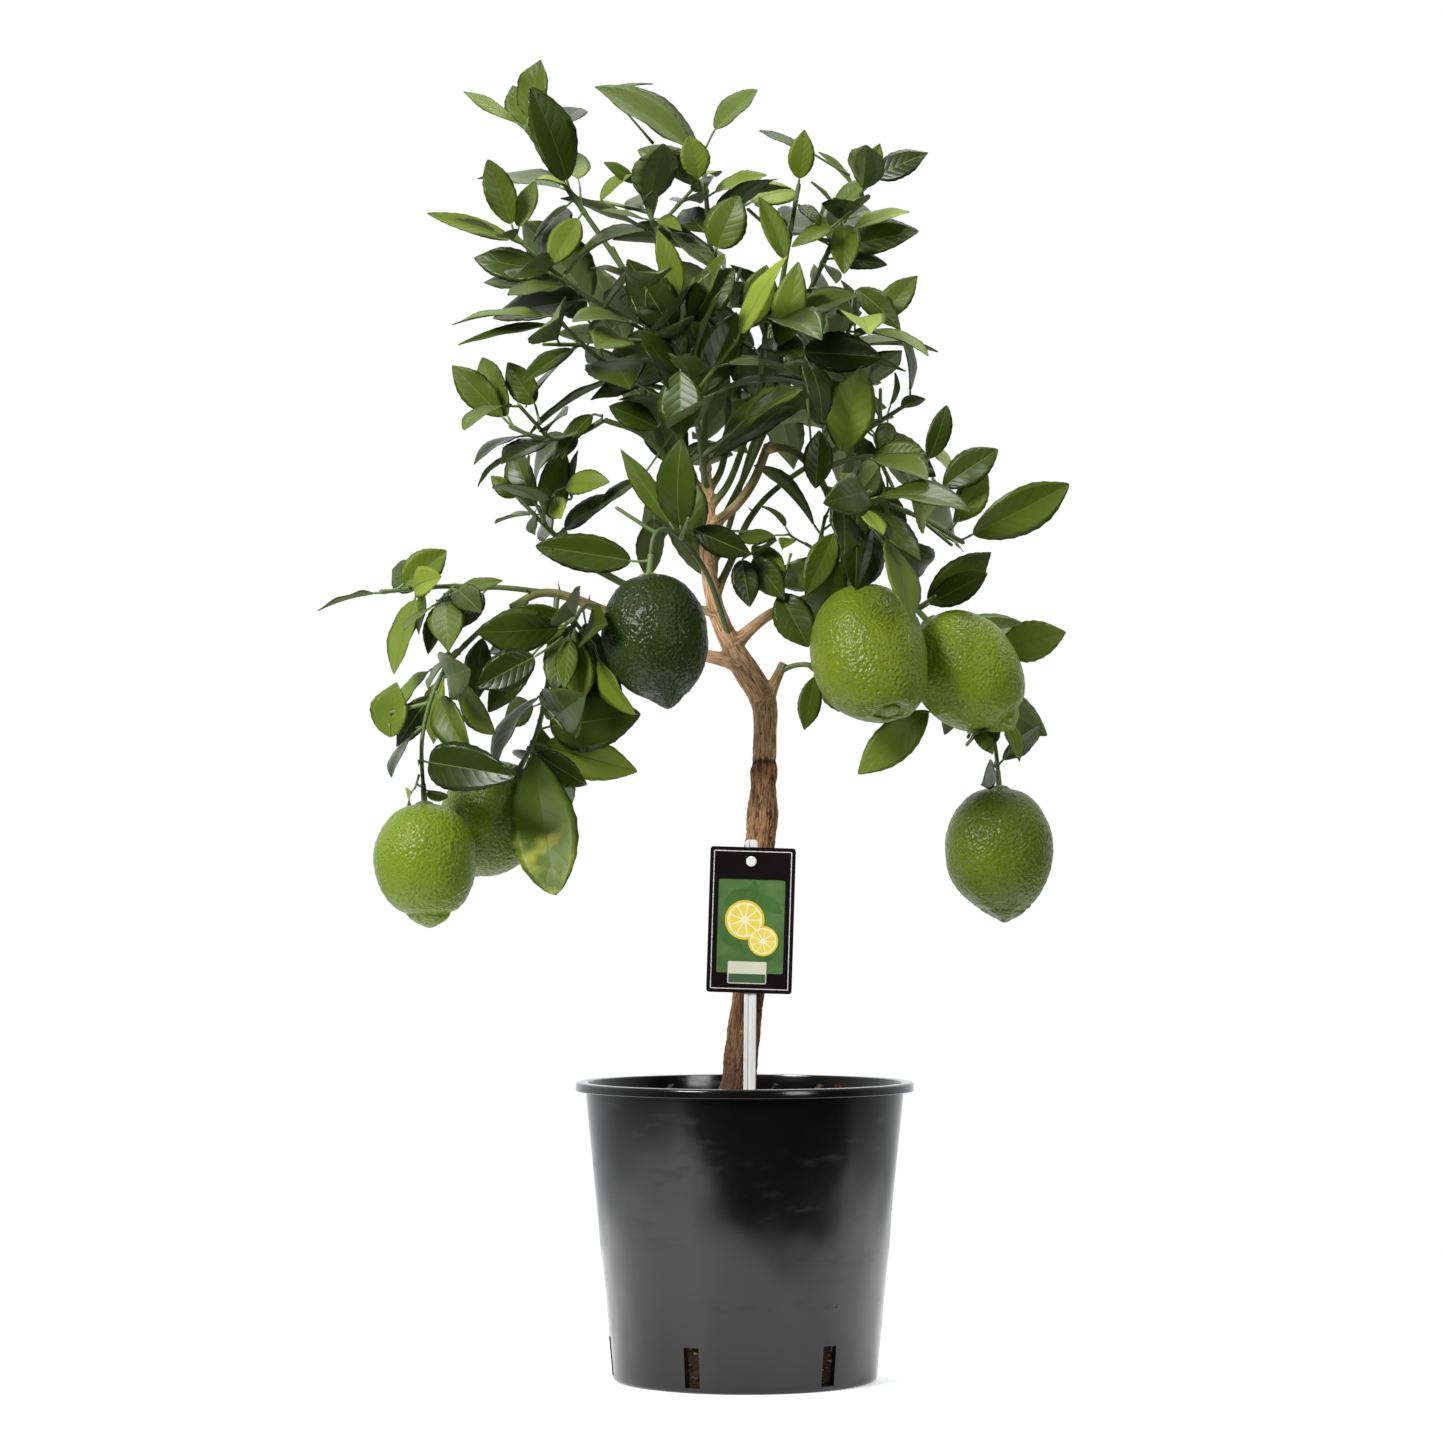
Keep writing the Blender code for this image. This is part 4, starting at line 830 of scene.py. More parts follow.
# %% Grow the wood
limbs, shapes, trees = {}, {}, {}
for limb in LIMBS:
    sides = LIMB_SIDES if limb.parent else TRUNK_SIDES
    path, radii = through(limb.points, limb.radii)
    if limb.parent:
        path, radii = trimmed(path, radii, sides, trees[limb.parent])
    limbs[limb.name] = path, radii
    shapes[limb.name] = tube(path, radii, sides)
    trees[limb.name] = tree_of(shapes[limb.name])

fruit_trees = {name: tree_of(fruit_shape(fruit)) for name, fruit in FRUITS.items()}
twigs = {spray.name: [grown_stem(spray, limbs, trees)] for spray in SPRAYS}
twig_trees = {name: [tree_of(tube(*stems[0], 3))] for name, stems in twigs.items()}
for spray in SPRAYS:
    rng = random.Random(f"{spray.name} shoots {spray.take}")
    others = [*trees.values(), *fruit_trees.values()]
    others += [tree for name, placed in twig_trees.items() if name != spray.name for tree in placed]

    def room_for(shoot):
        swollen = [radius + TWIG_CLEAR for radius in shoot.radii]
        return not touches(tree_of(tube(shoot.path, swollen, 3)), others)

    shoots = grown_shoots(spray, twigs[spray.name][0], rng, room_for)
    twigs[spray.name] += shoots
    twig_trees[spray.name] += [tree_of(tube(*shoot, 3)) for shoot in shoots]
print("stems and shoots:", sum(len(grown) for grown in twigs.values()))

# %% Grow the leaves
leaves = {spray.name: [] for spray in SPRAYS}
leaf_trees = {spray.name: [] for spray in SPRAYS}
outlined = {}
for outline in (True, False):
    for spray in SPRAYS:
        rng = random.Random(f"{spray.name} leaves {outline} {spray.take}")
        others = list(trees.values())
        others += [tree for name, tree in fruit_trees.items() if name != spray.name]
        for placed in (twig_trees, leaf_trees):
            others += [tree for name, kept in placed.items() if name != spray.name for tree in kept]
        own = leaf_trees[spray.name]
        own_wood = [*twig_trees[spray.name], *([fruit_trees[spray.name]] if spray.tip is None else [])]

        def room_for(leaf):
            blade = tree_of(leaf_shape(leaf, GAP, -JOINED_PART))
            if touches(tree_of(leaf_shape(leaf, LEAF_CLEAR)), others) or touches(blade, own_wood + own):
                return False
            if not all(outside(on_leaf(leaf, 1), tree) for tree in fruit_trees.values()):
                return False
            own.append(tree_of(leaf_shape(leaf)))
            return True

        if outline:
            leaves[spray.name] += grown_outline(spray, twigs[spray.name][0], rng, room_for)
            outlined[spray.name] = len(leaves[spray.name])
        else:
            leaves[spray.name] += grown_leaves(spray, twigs[spray.name], rng, room_for)
print("leaves:", sum(len(grown) for grown in leaves.values()))

# %% [markdown]
# ## Thinning and filling
# A gardener's last look: the rule has closed some windows in the crown that should be open, and left other places
# bare. Leaves that cover an open spot are taken off, and a few dozen are added one by one.

# %% Open spots and added leaves
OPEN = [
    (113, 614, 8), (141, 611, 10), (163, 522, 8), (182, 465, 8), (128, 387, 8), (-118, 637, 9), (-108, 655, 6),
    (-80, 547, 7), (-90, 531, 6), (-243, 445, 8), (-237, 388, 8), (-109, 836, 7), (-172, 797, 6), (-176, 755, 5),
    (-176, 727, 5), (109, 775, 7), (122, 743, 6), (103, 695, 7), (150, 545, 6), (-200, 505, 4), (118, 640, 8),
    (-64, 575, 6), (45, 720, 6), (11, 570, 6), (-68, 506, 6), (-41, 516, 6), (-82, 790, 7), (4, 722, 6), (-82, 757, 7), (-42, 718, 5),
    (-170, 551, 6), (-146, 535, 6), (180, 372, 7), (16, 547, 5),
    (-182, 526, 4), (-231, 471, 5), (-172, 660, 5), (-107, 797, 6), (135, 378, 5), (154, 590, 4),
    (-94, 374, 5), (189, 408, 4), (-21, 573, 4), (129, 497, 4), (-228, 432, 4),
]
# Outline leaves that are drawn slimmer or broader than their solid, by mass and number, and those drawn anew.
BROADENED = {
    ("left_high", 2): 0.42, ("left_shoulder", 1): 0.45, ("left_shoulder", 0): 1.3, ("top_left", 1): 0.6,
    ("left_tip", 0): 1.35, ("left_tip", 1): 1.3,
    ("right_out_low", 0): 0.85, ("dark_fruit", 2): 0.5, ("left_inner", 1): 1.25, ("right_shoulder", 0): 1.35, ("top_left", 0): 1.45, ("top_left", 2): 1.3,
}
DRAWN_ANEW = {
    ("left_tip", 4), ("left_hanging", 0), ("right_out", 1), ("low_fruit", 0), ("top_inner", 1), ("low_fruit", 1),
    ("dark_fruit", 0), ("dark_fruit", 1), ("top_mid", 2),
}
# Leaves whose tone is stated, from 0 for the darkest to 4.
TONED = {
    ("left_inner", 1): 1, ("left_inner", 2): 4, ("left_tip", 2): 3, ("top_left", 0): 2, ("top_mid", 0): 2,
    ("top_left", 1): 3, ("dark_fruit", 2): 2, ("dark_fruit", 4): 1, ("right_out_low", 0): 2,
    ("left_tip", 0): 3, ("side_fruit", 0): 1, ("side_fruit", 1): 2,
}

# Leaves added one by one: mass, base and tip in millimetres, tone from 0 for the darkest to 4, and width share.
ADDED_LEAVES = [
    ("right_inner", (-39, -42, 541), (5, -46, 520), 0, 1), ("right_inner", (0, -26, 531), (27, -30, 512), 3, 1.3),
    ("right_inner", (-3, -34, 525), (3, -38, 489), 0, 1.2), ("right_inner", (2, -30, 526), (25, -34, 493), 1, 1.2),
    ("right_inner", (19, -28, 505), (39, -34, 463), 1, 1.3), ("low_fruit", (124, -2, 431), (70, -8, 386), 3, 0.8),
    ("dark_fruit", (-63, -38, 517), (-132, -40, 531), 1, 0.9), ("top_mid", (-24, 0, 795), (9, -4, 825), 2, 1.8),
    ("top_mid", (-93, 6, 826), (-59, 8, 832), 1, 0.7), ("top_mid", (-25, -10, 755), (15, -14, 768), 3, 1.1),
    ("top_centre", (-67, -6, 773), (-93, -10, 752), 3, 1.2), ("top_right", (56, 4, 745), (82, 0, 768), 2, 1.4),
    ("right_high", (66, -6, 700), (98, -10, 666), 1, 1), ("left_mid", (-131, -10, 617), (-153, -8, 648), 2, 1.2),
    ("left_low", (-110, -10, 555), (-107, -14, 592), 1, 1), ("core_left", (-49, -40, 600), (-86, -44, 616), 1, 1),
    ("core_right", (28, -35, 703), (7, -38, 750), 3, 0.9), ("top_right", (61, -6, 738), (30, -14, 721), 3, 0.9),
    ("core_left", (-61, -30, 573), (-93, -34, 551), 0, 1.1), ("left_mid", (-92, -10, 620), (-123, -14, 582), 1, 0.9),
    ("left_cover", (-125, -60, 460), (-167, -62, 436), 0, 1.3), ("low_fruit", (158, 20, 466), (208, 20, 478), 3, 1.25),
    ("top_right", (48, 6, 784), (9, 2, 800), 1, 0.9), ("right_out", (119, -34, 561), (160, -38, 590), 1, 1.1),
    ("right_out_low", (133, -26, 542), (153, -30, 575), 3, 1.5),
    ("left_tip", (-188, -30, 497), (-153, -30, 507), 2, 0.9),
    ("left_hanging", (-225, -26, 401), (-221, -30, 443), 3, 1.6),
    ("low_fruit", (147, 2, 418), (157, -2, 396), 3, 1.3), ("low_fruit", (165, 2, 423), (175, -2, 392), 3, 1.1),
    ("core_right", (59, -48, 578), (71, -52, 640), 3, 1.1), ("core_right", (44, -50, 556), (46, -54, 600), 1, 1),
    ("core_front", (-40, -76, 642), (-40, -84, 590), 1, 1.25), ("core_right", (2, -60, 657), (16, -66, 702), 2, 1.3),
    ("core_right", (21, -60, 642), (33, -66, 705), 3, 0.8), ("core_front", (-38, -66, 661), (-3, -72, 697), 1, 1.3),
    ("core_left", (-40, -62, 653), (-76, -66, 705), 0, 1.1), ("core_left", (-38, -54, 679), (-57, -58, 726), 3, 0.8),
    ("top_mid", (-20, -24, 713), (0, -28, 752), 2, 1.7), ("top_mid", (-29, -16, 760), (-35, -20, 793), 3, 1.5),
]

before = sum(map(len, leaves.values()))
sick_leaf = leaves["left_inner"][0]
stated_tones = {}
for name, kept in leaves.items():
    leaves[name] = []
    for number, leaf in enumerate(kept):
        if (name, number) in DRAWN_ANEW or number >= outlined[name] and covers(leaf, OPEN):
            continue
        if (name, number) in BROADENED:
            leaf = leaf._replace(width=leaf.width * BROADENED[name, number])
        leaves[name].append(leaf)
        if (name, number) in TONED:
            stated_tones[id(leaf)] = TONED[name, number]
print("leaves taken off:", before - sum(map(len, leaves.values())))
rng = random.Random("added leaves")
for name, base, tip, tone, broad in ADDED_LEAVES:
    leaf = outer_leaf(Vector(base) * MM, Vector(tip) * MM, rng)
    leaves[name].append(leaf._replace(width=leaf.width * broad))
    stated_tones[id(leaves[name][-1])] = tone

# %% [markdown]
# ## Finer twigs and young leaves
# The solids stop at side shoots. A real citrus goes one step further: from the axils of its leaves come short green
# twigs with two or three small young leaves. They are grown by the same rule at half the size, wherever they find
# room, and they stay inside the reach of the solids.

# %% Grow the finer twigs
TWIGLET_LENGTHS = (8 * MM, 17 * MM)
TWIGLET_RADII = (0.9 * MM, 0.6 * MM)
TWIGLET_SPREAD = (30, 65)
YOUNG_SIZES = (0.5, 0.8)
YOUNG_CLEAR = 0.6 * MM
lowest, highest = cad_box


def whole_tree(parts):
    """One tree of faces for many shapes together."""
    points, faces = [], []
    for shape in parts:
        faces += [tuple(len(points) + i for i in face) for face in shape[1]]
        points += [tuple(p) for p in shape[0]]
    return BVHTree.FromPolygons(points, faces)


grown = [*shapes.values(), *(fruit_shape(fruit) for fruit in FRUITS.values())]
grown += [tube(*twig, 3) for kept in twigs.values() for twig in kept]
grown += [leaf_shape(leaf) for kept in leaves.values() for leaf in kept]
crowd = [whole_tree(grown)]
twiglets = {spray.name: [] for spray in SPRAYS}
young_leaves = {spray.name: [] for spray in SPRAYS}


def inside_box(point):
    return all(low < value < high for low, value, high in zip(lowest, point, highest))


def young_twig(spray, start, heading, turn, rng):
    """A twiglet with its two or three small leaves."""
    first, second = square_to(heading)
    outward = first * math.cos(turn) + second * math.sin(turn)
    spread = math.radians(rng.uniform(*TWIGLET_SPREAD))
    reach = (heading * math.cos(spread) + outward * math.sin(spread)) * rng.uniform(*TWIGLET_LENGTHS)
    path = [start, start + reach * 0.5 + UP * 0.4 * MM, start + reach + UP * 1.6 * MM]
    way = (path[2] - path[1]).normalized()
    size = spray.leaf * MM * rng.uniform(*YOUNG_SIZES)
    turn = rng.uniform(0, math.tau)
    found = [leaf_at(path[2], way, turn, math.radians(rng.uniform(*TIP_SPREAD)), size, rng)]
    for share in rng.sample((0.45, 0.7, 0.85), rng.choice((1, 2, 2))):
        turn += GOLDEN
        place, _ = along(path, share)
        found.append(leaf_at(place, way, turn, math.radians(rng.uniform(*LEAF_SPREAD)), size * 0.85, rng))
    return Twig(path, [TWIGLET_RADII[0], sum(TWIGLET_RADII) / 2, TWIGLET_RADII[1]]), found


for spray in SPRAYS:
    rng = random.Random(f"{spray.name} young growth")
    for number, twig in enumerate(twigs[spray.name]):
        for _ in range(1 if number else 2):
            if rng.random() < 0.35:
                continue
            share = rng.uniform(max(spray.bare, 0.3) if number == 0 else 0.3, 0.97)
            start, heading = along(twig.path, share)
            for attempt in range(TRIES):
                twiglet, found = young_twig(spray, start, heading, rng.uniform(0, math.tau), rng)
                if any(covers(leaf, SKY + OPEN) or not inside_box(on_leaf(leaf, 1)) for leaf in found):
                    continue
                blades = [leaf_shape(leaf, YOUNG_CLEAR, -JOINED_PART) for leaf in found]
                stem = tube(twiglet.path[1:], twiglet.radii[1:], 3)
                if touches(whole_tree([*blades, stem]), crowd):
                    continue
                twiglets[spray.name].append(twiglet)
                young_leaves[spray.name] += found
                crowd.append(whole_tree([*blades, stem]))
                break
print("twiglets:", sum(map(len, twiglets.values())), "young leaves:", sum(map(len, young_leaves.values())))

# %% [markdown]
# ## Joining small things into pieces
# A thousand twigs and leaves as a thousand objects would be slow to render. A heap gathers points and
# faces, each face with the number of its finish, and becomes one object at the end.


# %% A heap of faces that becomes one piece
class Heap:
    """Points and faces gathered for one piece, each face with its finish."""

    def __init__(self):
        self.points, self.faces, self.finishes, self.marks = [], [], [], []

    def add(self, points, faces, finish, marks=None):
        base = len(self.points)
        self.marks += marks or [(0, 0, 0)] * len(points)
        self.points += [tuple(p) for p in points]
        self.faces += [tuple(base + i for i in face) for face in faces]
        self.finishes += finish if isinstance(finish, list) else [finish] * len(faces)


def piece(name, heap, materials, slot, stands_for, smooth_under=180):
    """The heap as one smooth object that rides on the plant, turned outwards, with its finishes."""
    mesh = bpy.data.meshes.new(name)
    mesh.from_pydata(heap.points, [], heap.faces)
    for each in materials:
        mesh.materials.append(each)
    mesh.polygons.foreach_set("material_index", heap.finishes)
    if any(map(any, heap.marks)):
        layer = mesh.attributes.new("on_leaf", "FLOAT_VECTOR", "POINT")
        layer.data.foreach_set("vector", np.array(heap.marks, np.float32).ravel())
    body = bmesh.new()
    body.from_mesh(mesh)
    bmesh.ops.recalc_face_normals(body, faces=body.faces)
    body.to_mesh(mesh)
    body.free()
    mesh.shade_smooth()
    if smooth_under < 180:
        mesh.set_sharp_from_angle(angle=math.radians(smooth_under))
    made = bpy.data.objects.new(name, mesh)
    scene.collection.objects.link(made)
    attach(made, "root")
    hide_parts(*stands_for)
    mesh.calc_loop_triangles()
    print(name, len(mesh.loop_triangles), "triangles")
    return made


# %% [markdown]
# ## Bark
# Bark is skin over one body, so trunk and boughs must flow into each other with no seam. Tubes that start deep
# inside their bearer are fused on a fine voxel grid, which rounds every fork. The skin is then pushed in and out
# along its own normals: deep upright cracks on the old wood below the graft, fine ones above it, and next to none
# on the green limbs. The depth of a crack is kept on each point, so that the finish can paint shade into it.

# %% Smooth ways of the limbs
SAMPLE_STEP = 2.5 * MM
VOXEL = 0.85 * MM
TRUNK_FOOT = 168
KINK = 1.7 * MM
Sample = namedtuple("Sample", "place ahead first run radius limb")


def flared(radii, path, bearer_radius):
    """Radii that widen towards the start, as a branch does where it leaves its bearer."""
    run, widened = 0.0, []
    for i, radius in enumerate(radii):
        run += (path[i] - path[i - 1]).length if i else 0
        widened.append(radius * (1 + 0.5 * math.exp(-((run / (1.5 * bearer_radius)) ** 2))))
    return widened


fine_limbs, samples = {}, []
for limb in LIMBS:
    points, radii = list(limb.points), list(limb.radii)
    if not limb.parent:
        points.insert(0, (-7, 0, TRUNK_FOOT))
        radii.insert(0, 15.5)
    path, radii = through(points, radii, SAMPLE_STEP)
    if not limb.parent:
        path = [p - Vector((KINK * math.exp(-(((p.z / MM - 333) / 24) ** 2)), 0, 0)) for p in path]
    if limb.parent:
        bearer = min(fine_limbs[limb.parent][0], key=lambda p: (p - path[0]).length)
        bearer_radius = fine_limbs[limb.parent][1][fine_limbs[limb.parent][0].index(bearer)]
        radii = flared(radii, path, bearer_radius)
    fine_limbs[limb.name] = path, radii
    run, first = 0.0, square_to((path[1] - path[0]).normalized())[0]
    for i, place in enumerate(path):
        ahead = (path[min(i + 1, len(path) - 1)] - path[max(i - 1, 0)]).normalized()
        first = (first - ahead * first.dot(ahead)).normalized()
        run += (place - path[i - 1]).length if i else 0
        samples.append(Sample(place, ahead, first.copy(), run, radii[i], limb.name))
print("limb samples:", len(samples))


# %% Swellings of the trunk
def swelling(name, place, radius):
    """The radius with the graft's ring, the bulge below it and small knots."""
    if name != "trunk":
        return radius
    height = place.z / MM
    bulge = 0.10 * math.exp(-(((height - 357) / 9) ** 2)) + 0.10 * math.exp(-(((height - 386) / 7) ** 2))
    bulge += 0.14 * math.exp(-(((height - 452) / 14) ** 2))
    ring = 0.05 * math.exp(-(((height - 396) / 2.5) ** 2))
    return radius * (1 + bulge - ring)


heap = Heap()
for name, (path, radii) in fine_limbs.items():
    swollen = [swelling(name, place, radius) for place, radius in zip(path, radii)]
    heap.add(*tube(path, swollen, 24 if name == "trunk" else 14), 0)
bark_tubes = bpy.data.meshes.new("bark_tubes")
bark_tubes.from_pydata(heap.points, [], heap.faces)
holder = bpy.data.objects.new("bark_tubes", bark_tubes)
scene.collection.objects.link(holder)
fuse = holder.modifiers.new("fuse", "REMESH")
fuse.mode = "VOXEL"
fuse.voxel_size = VOXEL
even = holder.modifiers.new("even", "SMOOTH")
even.factor = 0.5
even.iterations = 3
graph = bpy.context.evaluated_depsgraph_get()
bark_mesh = bpy.data.meshes.new_from_object(holder.evaluated_get(graph))
bpy.data.objects.remove(holder, do_unlink=True)
print("bark points:", len(bark_mesh.vertices))

# %% Cracks and striations
GRAFT = 395 * MM
near = KDTree(len(samples))
for index, sample in enumerate(samples):
    near.insert(sample.place, index)
near.balance()


def crack(value, width):
    """1 in the middle of a crack and 0 outside it, from noise that crosses zero along the crack."""
    return max(0.0, 1 - abs(value) / width) ** 1.5


def bark_relief(place, sample):
    """How far the bark stands out here, how deep in a crack it is, and how young it is."""
    out = place - sample.place
    second = sample.ahead.cross(sample.first)
    run = sample.run + out.dot(sample.ahead)
    round_limb = Vector((out.dot(sample.first), out.dot(second), 0))
    if round_limb.length > 0:
        round_limb = round_limb.normalized() * sample.radius
    spot = Vector((round_limb.x, round_limb.y, run * 0.13)) / MM
    spot.z += 37.0 * (hash_of[sample.limb] % 17)
    old = 1.0 if sample.limb == "trunk" and place.z < GRAFT else 0.0
    stout = min(1.0, max(0.0, (sample.radius / MM - 2.0) / 6.0))
    warp = noise.noise(Vector((spot.x, spot.y, spot.z * 4)) * 0.3) * 0.5
    wide = noise.noise(spot * 0.40) + 0.3 * warp
    fine = noise.noise(spot * 0.95 + Vector((9, 4, 1))) + 0.2 * warp
    grain = noise.noise(Vector((spot.x, spot.y, spot.z * 5)) * 0.9)
    depth = crack(wide, 0.20) * (0.75 * old + 0.30 * stout) + crack(fine, 0.25) * (0.34 * old + 0.24 * stout + 0.04)
    rough = grain * (0.22 * old + 0.12 * stout + 0.03)
    lump = noise.noise(place / MM * 0.07) * (0.5 * old + 0.35 * stout)
    if sample.limb == "trunk":
        depth += 0.6 * math.exp(-(((place - UP * GRAFT).z / MM + 2 + 3 * warp) ** 2) / 3)
    streak = 0.5 + 0.7 * noise.noise(spot * 0.62 + Vector((3, 7, 2))) + 0.35 * fine
    way = (round_limb.x / MM, round_limb.y / MM, run / MM + 40 * hash_of[sample.limb])
    return (rough + lump - depth) * MM, min(1.0, depth / (0.45 + 0.35 * old)), 1 - stout, streak, way


hash_of = {name: number * 5 + 3 for number, name in enumerate(fine_limbs)}
count = len(bark_mesh.vertices)
crack_shades, youths, heights, streaks = (np.zeros(count, np.float32) for _ in range(4))
ways = np.zeros((count, 3), np.float32)
normals = [vertex.normal.copy() for vertex in bark_mesh.vertices]
for vertex, normal in zip(bark_mesh.vertices, normals):
    _, index, _ = near.find(vertex.co)
    i = vertex.index
    lift, crack_shades[i], youths[i], streaks[i], ways[i] = bark_relief(vertex.co, samples[index])
    heights[i] = vertex.co.z
    vertex.co = vertex.co + normal * lift
for label, values in (("crack", crack_shades), ("youth", youths), ("height", heights), ("streak", streaks)):
    layer = bark_mesh.attributes.new(label, "FLOAT", "POINT")
    layer.data.foreach_set("value", values)
bark_mesh.attributes.new("limb_way", "FLOAT_VECTOR", "POINT").data.foreach_set("vector", ways.ravel())

# %% Bark finish
bark = bpy.data.materials.new("bark")
bark.use_nodes = True
tree = bark.node_tree


def kept_on_points(label, low, high):
    """A smooth range of a value that each point of the bark keeps."""
    return ranged(tree, add_node(tree, "Attribute", attribute_name=label)["Fac"], low, high, 0, 1, "SMOOTHSTEP")


old_wood = mottled(tree, (0.47, 0.265, 0.122), (0.29, 0.148, 0.068), Scale=110)
grey_wood = mottled(tree, (0.88, 0.58, 0.33), (0.68, 0.42, 0.22), Scale=160)
green_wood = mottled(tree, (0.16, 0.20, 0.05), (0.085, 0.11, 0.03), Scale=120)
colour = blended(tree, kept_on_points("height", 0.170, 0.275), (0.12, 0.058, 0.028), old_wood)
colour = blended(tree, kept_on_points("height", 0.388, 0.402), colour, grey_wood)
colour = blended(tree, kept_on_points("streak", 0.62, 0.1), colour, (0.80, 0.76, 0.72), "MULTIPLY")
way = add_node(tree, "Attribute", attribute_name="limb_way")["Vector"]
drawn_out = add_node(tree, "VectorMath", way, (1, 1, 0.09), operation="MULTIPLY")[0]
fibres = add_node(tree, "TexNoise", drawn_out, Scale=0.85, Detail=3, Roughness=0.6)["Fac"]
shade = ranged(tree, fibres, 0.54, 0.38, 0, 1, "SMOOTHSTEP")
colour = blended(tree, shade, colour, (0.48, 0.42, 0.38), "MULTIPLY")
colour = blended(tree, kept_on_points("youth", 0.62, 0.93), colour, green_wood)
# Painted shade: the bark is darkened towards deep brown by how deep each point lies in a crack or in the graft's ring.
colour = blended(tree, kept_on_points("crack", 0.25, 1.1), colour, (0.075, 0.040, 0.022))
set_inputs(tree.nodes["Principled BSDF"], Base_Color=colour, Roughness=0.82, Specular_IOR_Level=0.3)
bumped(bark, fibres, 0.9 * MM)

bark_mesh.materials.clear()
bark_mesh.materials.append(bark)
bark_mesh.shade_smooth()
bark_piece = bpy.data.objects.new("bark_and_boughs", bark_mesh)
scene.collection.objects.link(bark_piece)
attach(bark_piece, "root")
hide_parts(*fine_limbs)
print("bark triangles:", sum(len(p.vertices) - 2 for p in bark_mesh.polygons))

# %% [markdown]
# ## Green wood
# Stems and shoots stay green for a year or two. They are smooth, a little swollen where a leaf sits, and carry a bud
# in each axil. Some axils on the bare boughs carry a thorn instead. Thin tubes are enough for all of that.

# %% Twig helpers
STEM_SIDES = 8
FINE_STEP = 3 * MM
STEM_FINISH, SHOOT_FINISH, STALK_FINISH, THORN_FINISH = range(4)
twig_heap = Heap()
fine_twigs = {spray.name: [] for spray in SPRAYS}

# How far each fruit has settled from its plain solid in millimetres, and how much wider and longer it has grown.
Settled = namedtuple("Settled", "shift wide tall axis")
SETTLED = {
    "front_fruit": Settled((-1.7, 0, -2), 1.02, 1.14, (0.16, -0.46, -1)),
    "side_fruit": Settled((-1.2, 0, -1), 1.03, 1.06, (0.60, -0.05, -0.82)),
    "left_hanging": Settled((3.8, 0, -8.4), 1.0, 0.967, (0.02, 0, -1)),
    "low_fruit": Settled((1.4, 0, -2.4), 1.035, 1.01, (-0.03, 0, -1)),
    "left_inner": Settled((1, 0, -1), 1.0, 1.0, (-0.5, 0.25, -0.83)),
    "dark_fruit": Settled((0.5, 0, 0), 0.985, 0.99, (0.12, -0.1, -1)),
}


def smooth_way(points, radii, step=FINE_STEP):
    """A smooth path through points in metres."""
    return through([p / MM for p in points], [r / MM for r in radii] if len(radii) > 2 else
                   [radii[0] / MM, radii[-1] / MM], step)


def with_nodes(path, radii, leaf_bases):
    """Radii that swell a little where leaves sit."""
    swollen = []
    for place, radius in zip(path, radii):
        nearest = min(((place - base).length for base in leaf_bases), default=1)
        swollen.append(radius * (1 + 0.28 * math.exp(-((nearest / (1.8 * MM)) ** 2))))
    return swollen


for spray in SPRAYS:
    bases = [leaf.base for leaf in [*leaves[spray.name], *young_leaves[spray.name]]]
    for number, twig in enumerate([*twigs[spray.name], *twiglets[spray.name]]):
        points, radii = list(twig.path), list(twig.radii)
        stem = number == 0
        if stem:
            start, _ = along(limbs[spray.parent][0], spray.at)
            if (start - points[0]).length > 0.5 * MM:
                points.insert(0, start)
                radii.insert(0, radii[0] * 1.15)
        if stem and spray.name in SETTLED:
            shift = Vector(SETTLED[spray.name].shift) * MM
            points[-2:] = [points[-2] + shift * 0.5, points[-1] + shift]
        path, radii = smooth_way(points, radii)
        fine_twigs[spray.name].append((path, radii))
        ends = [path[-1] + (path[-1] - path[-2]).normalized() * 0.8 * MM]
        twig_heap.add(
            *tube([*path, *ends], [*with_nodes(path, radii, bases), radii[-1] * 0.4], STEM_SIDES),
            STEM_FINISH if stem else SHOOT_FINISH,
        )

# %% Buds and thorns
THORN_LENGTHS = (4 * MM, 9 * MM)
BUD_LENGTH = 2.2 * MM


def spike(start, way, length, radius, sides, finish):
    """A small tapered spike that bends up a little at its tip."""
    path = [start - way * radius, start + way * length * 0.35, start + way * length * 0.7 + UP * 0.03 * length,
            start + way * length + UP * 0.08 * length]
    twig_heap.add(*tube(path, [radius * 1.25, radius * 0.8, radius * 0.45, radius * 0.08], sides), finish)


rng = random.Random("buds and thorns")
for spray in SPRAYS:
    for leaf in leaves[spray.name]:
        if id(leaf) in stated_tones:
            continue
        _, heading = along(twigs[spray.name][0].path, 0.9)
        way = (leaf.turn @ Vector((1, 0, 0)) * 0.5 + leaf.turn @ Vector((0, 0, 1)) * 0.7 + heading * 0.4).normalized()
        spike(leaf.base + way * 1.0 * MM, way, BUD_LENGTH, 0.85 * MM, 6, SHOOT_FINISH)
        if rng.random() < 0.16:
            side = leaf.turn @ Vector((0.5, rng.choice((-1, 1)), 0.3)).normalized()
            spike(leaf.base, side, rng.uniform(*THORN_LENGTHS) * 0.8, 0.55 * MM, 6, THORN_FINISH)
for name, shares in (("left_bough", (0.3, 0.44, 0.55, 0.66, 0.78, 0.9)), ("right_bough", (0.35, 0.6, 0.8)),
                     ("upper_right_limb", (0.4, 0.7)), ("crown_left_limb", (0.3, 0.6)), ("arch_fall", (0.5,))):
    path, radii = fine_limbs[name]
    for share in shares:
        start, heading = along(path, share)
        first, second = square_to(heading)
        turn = rng.uniform(-1.5, 1.5)
        way = (first * math.cos(turn) + second * math.sin(turn) + heading * 0.3).normalized()
        spike(start + way * 1.9 * MM, way, rng.uniform(*THORN_LENGTHS), 0.75 * MM, 7, THORN_FINISH)

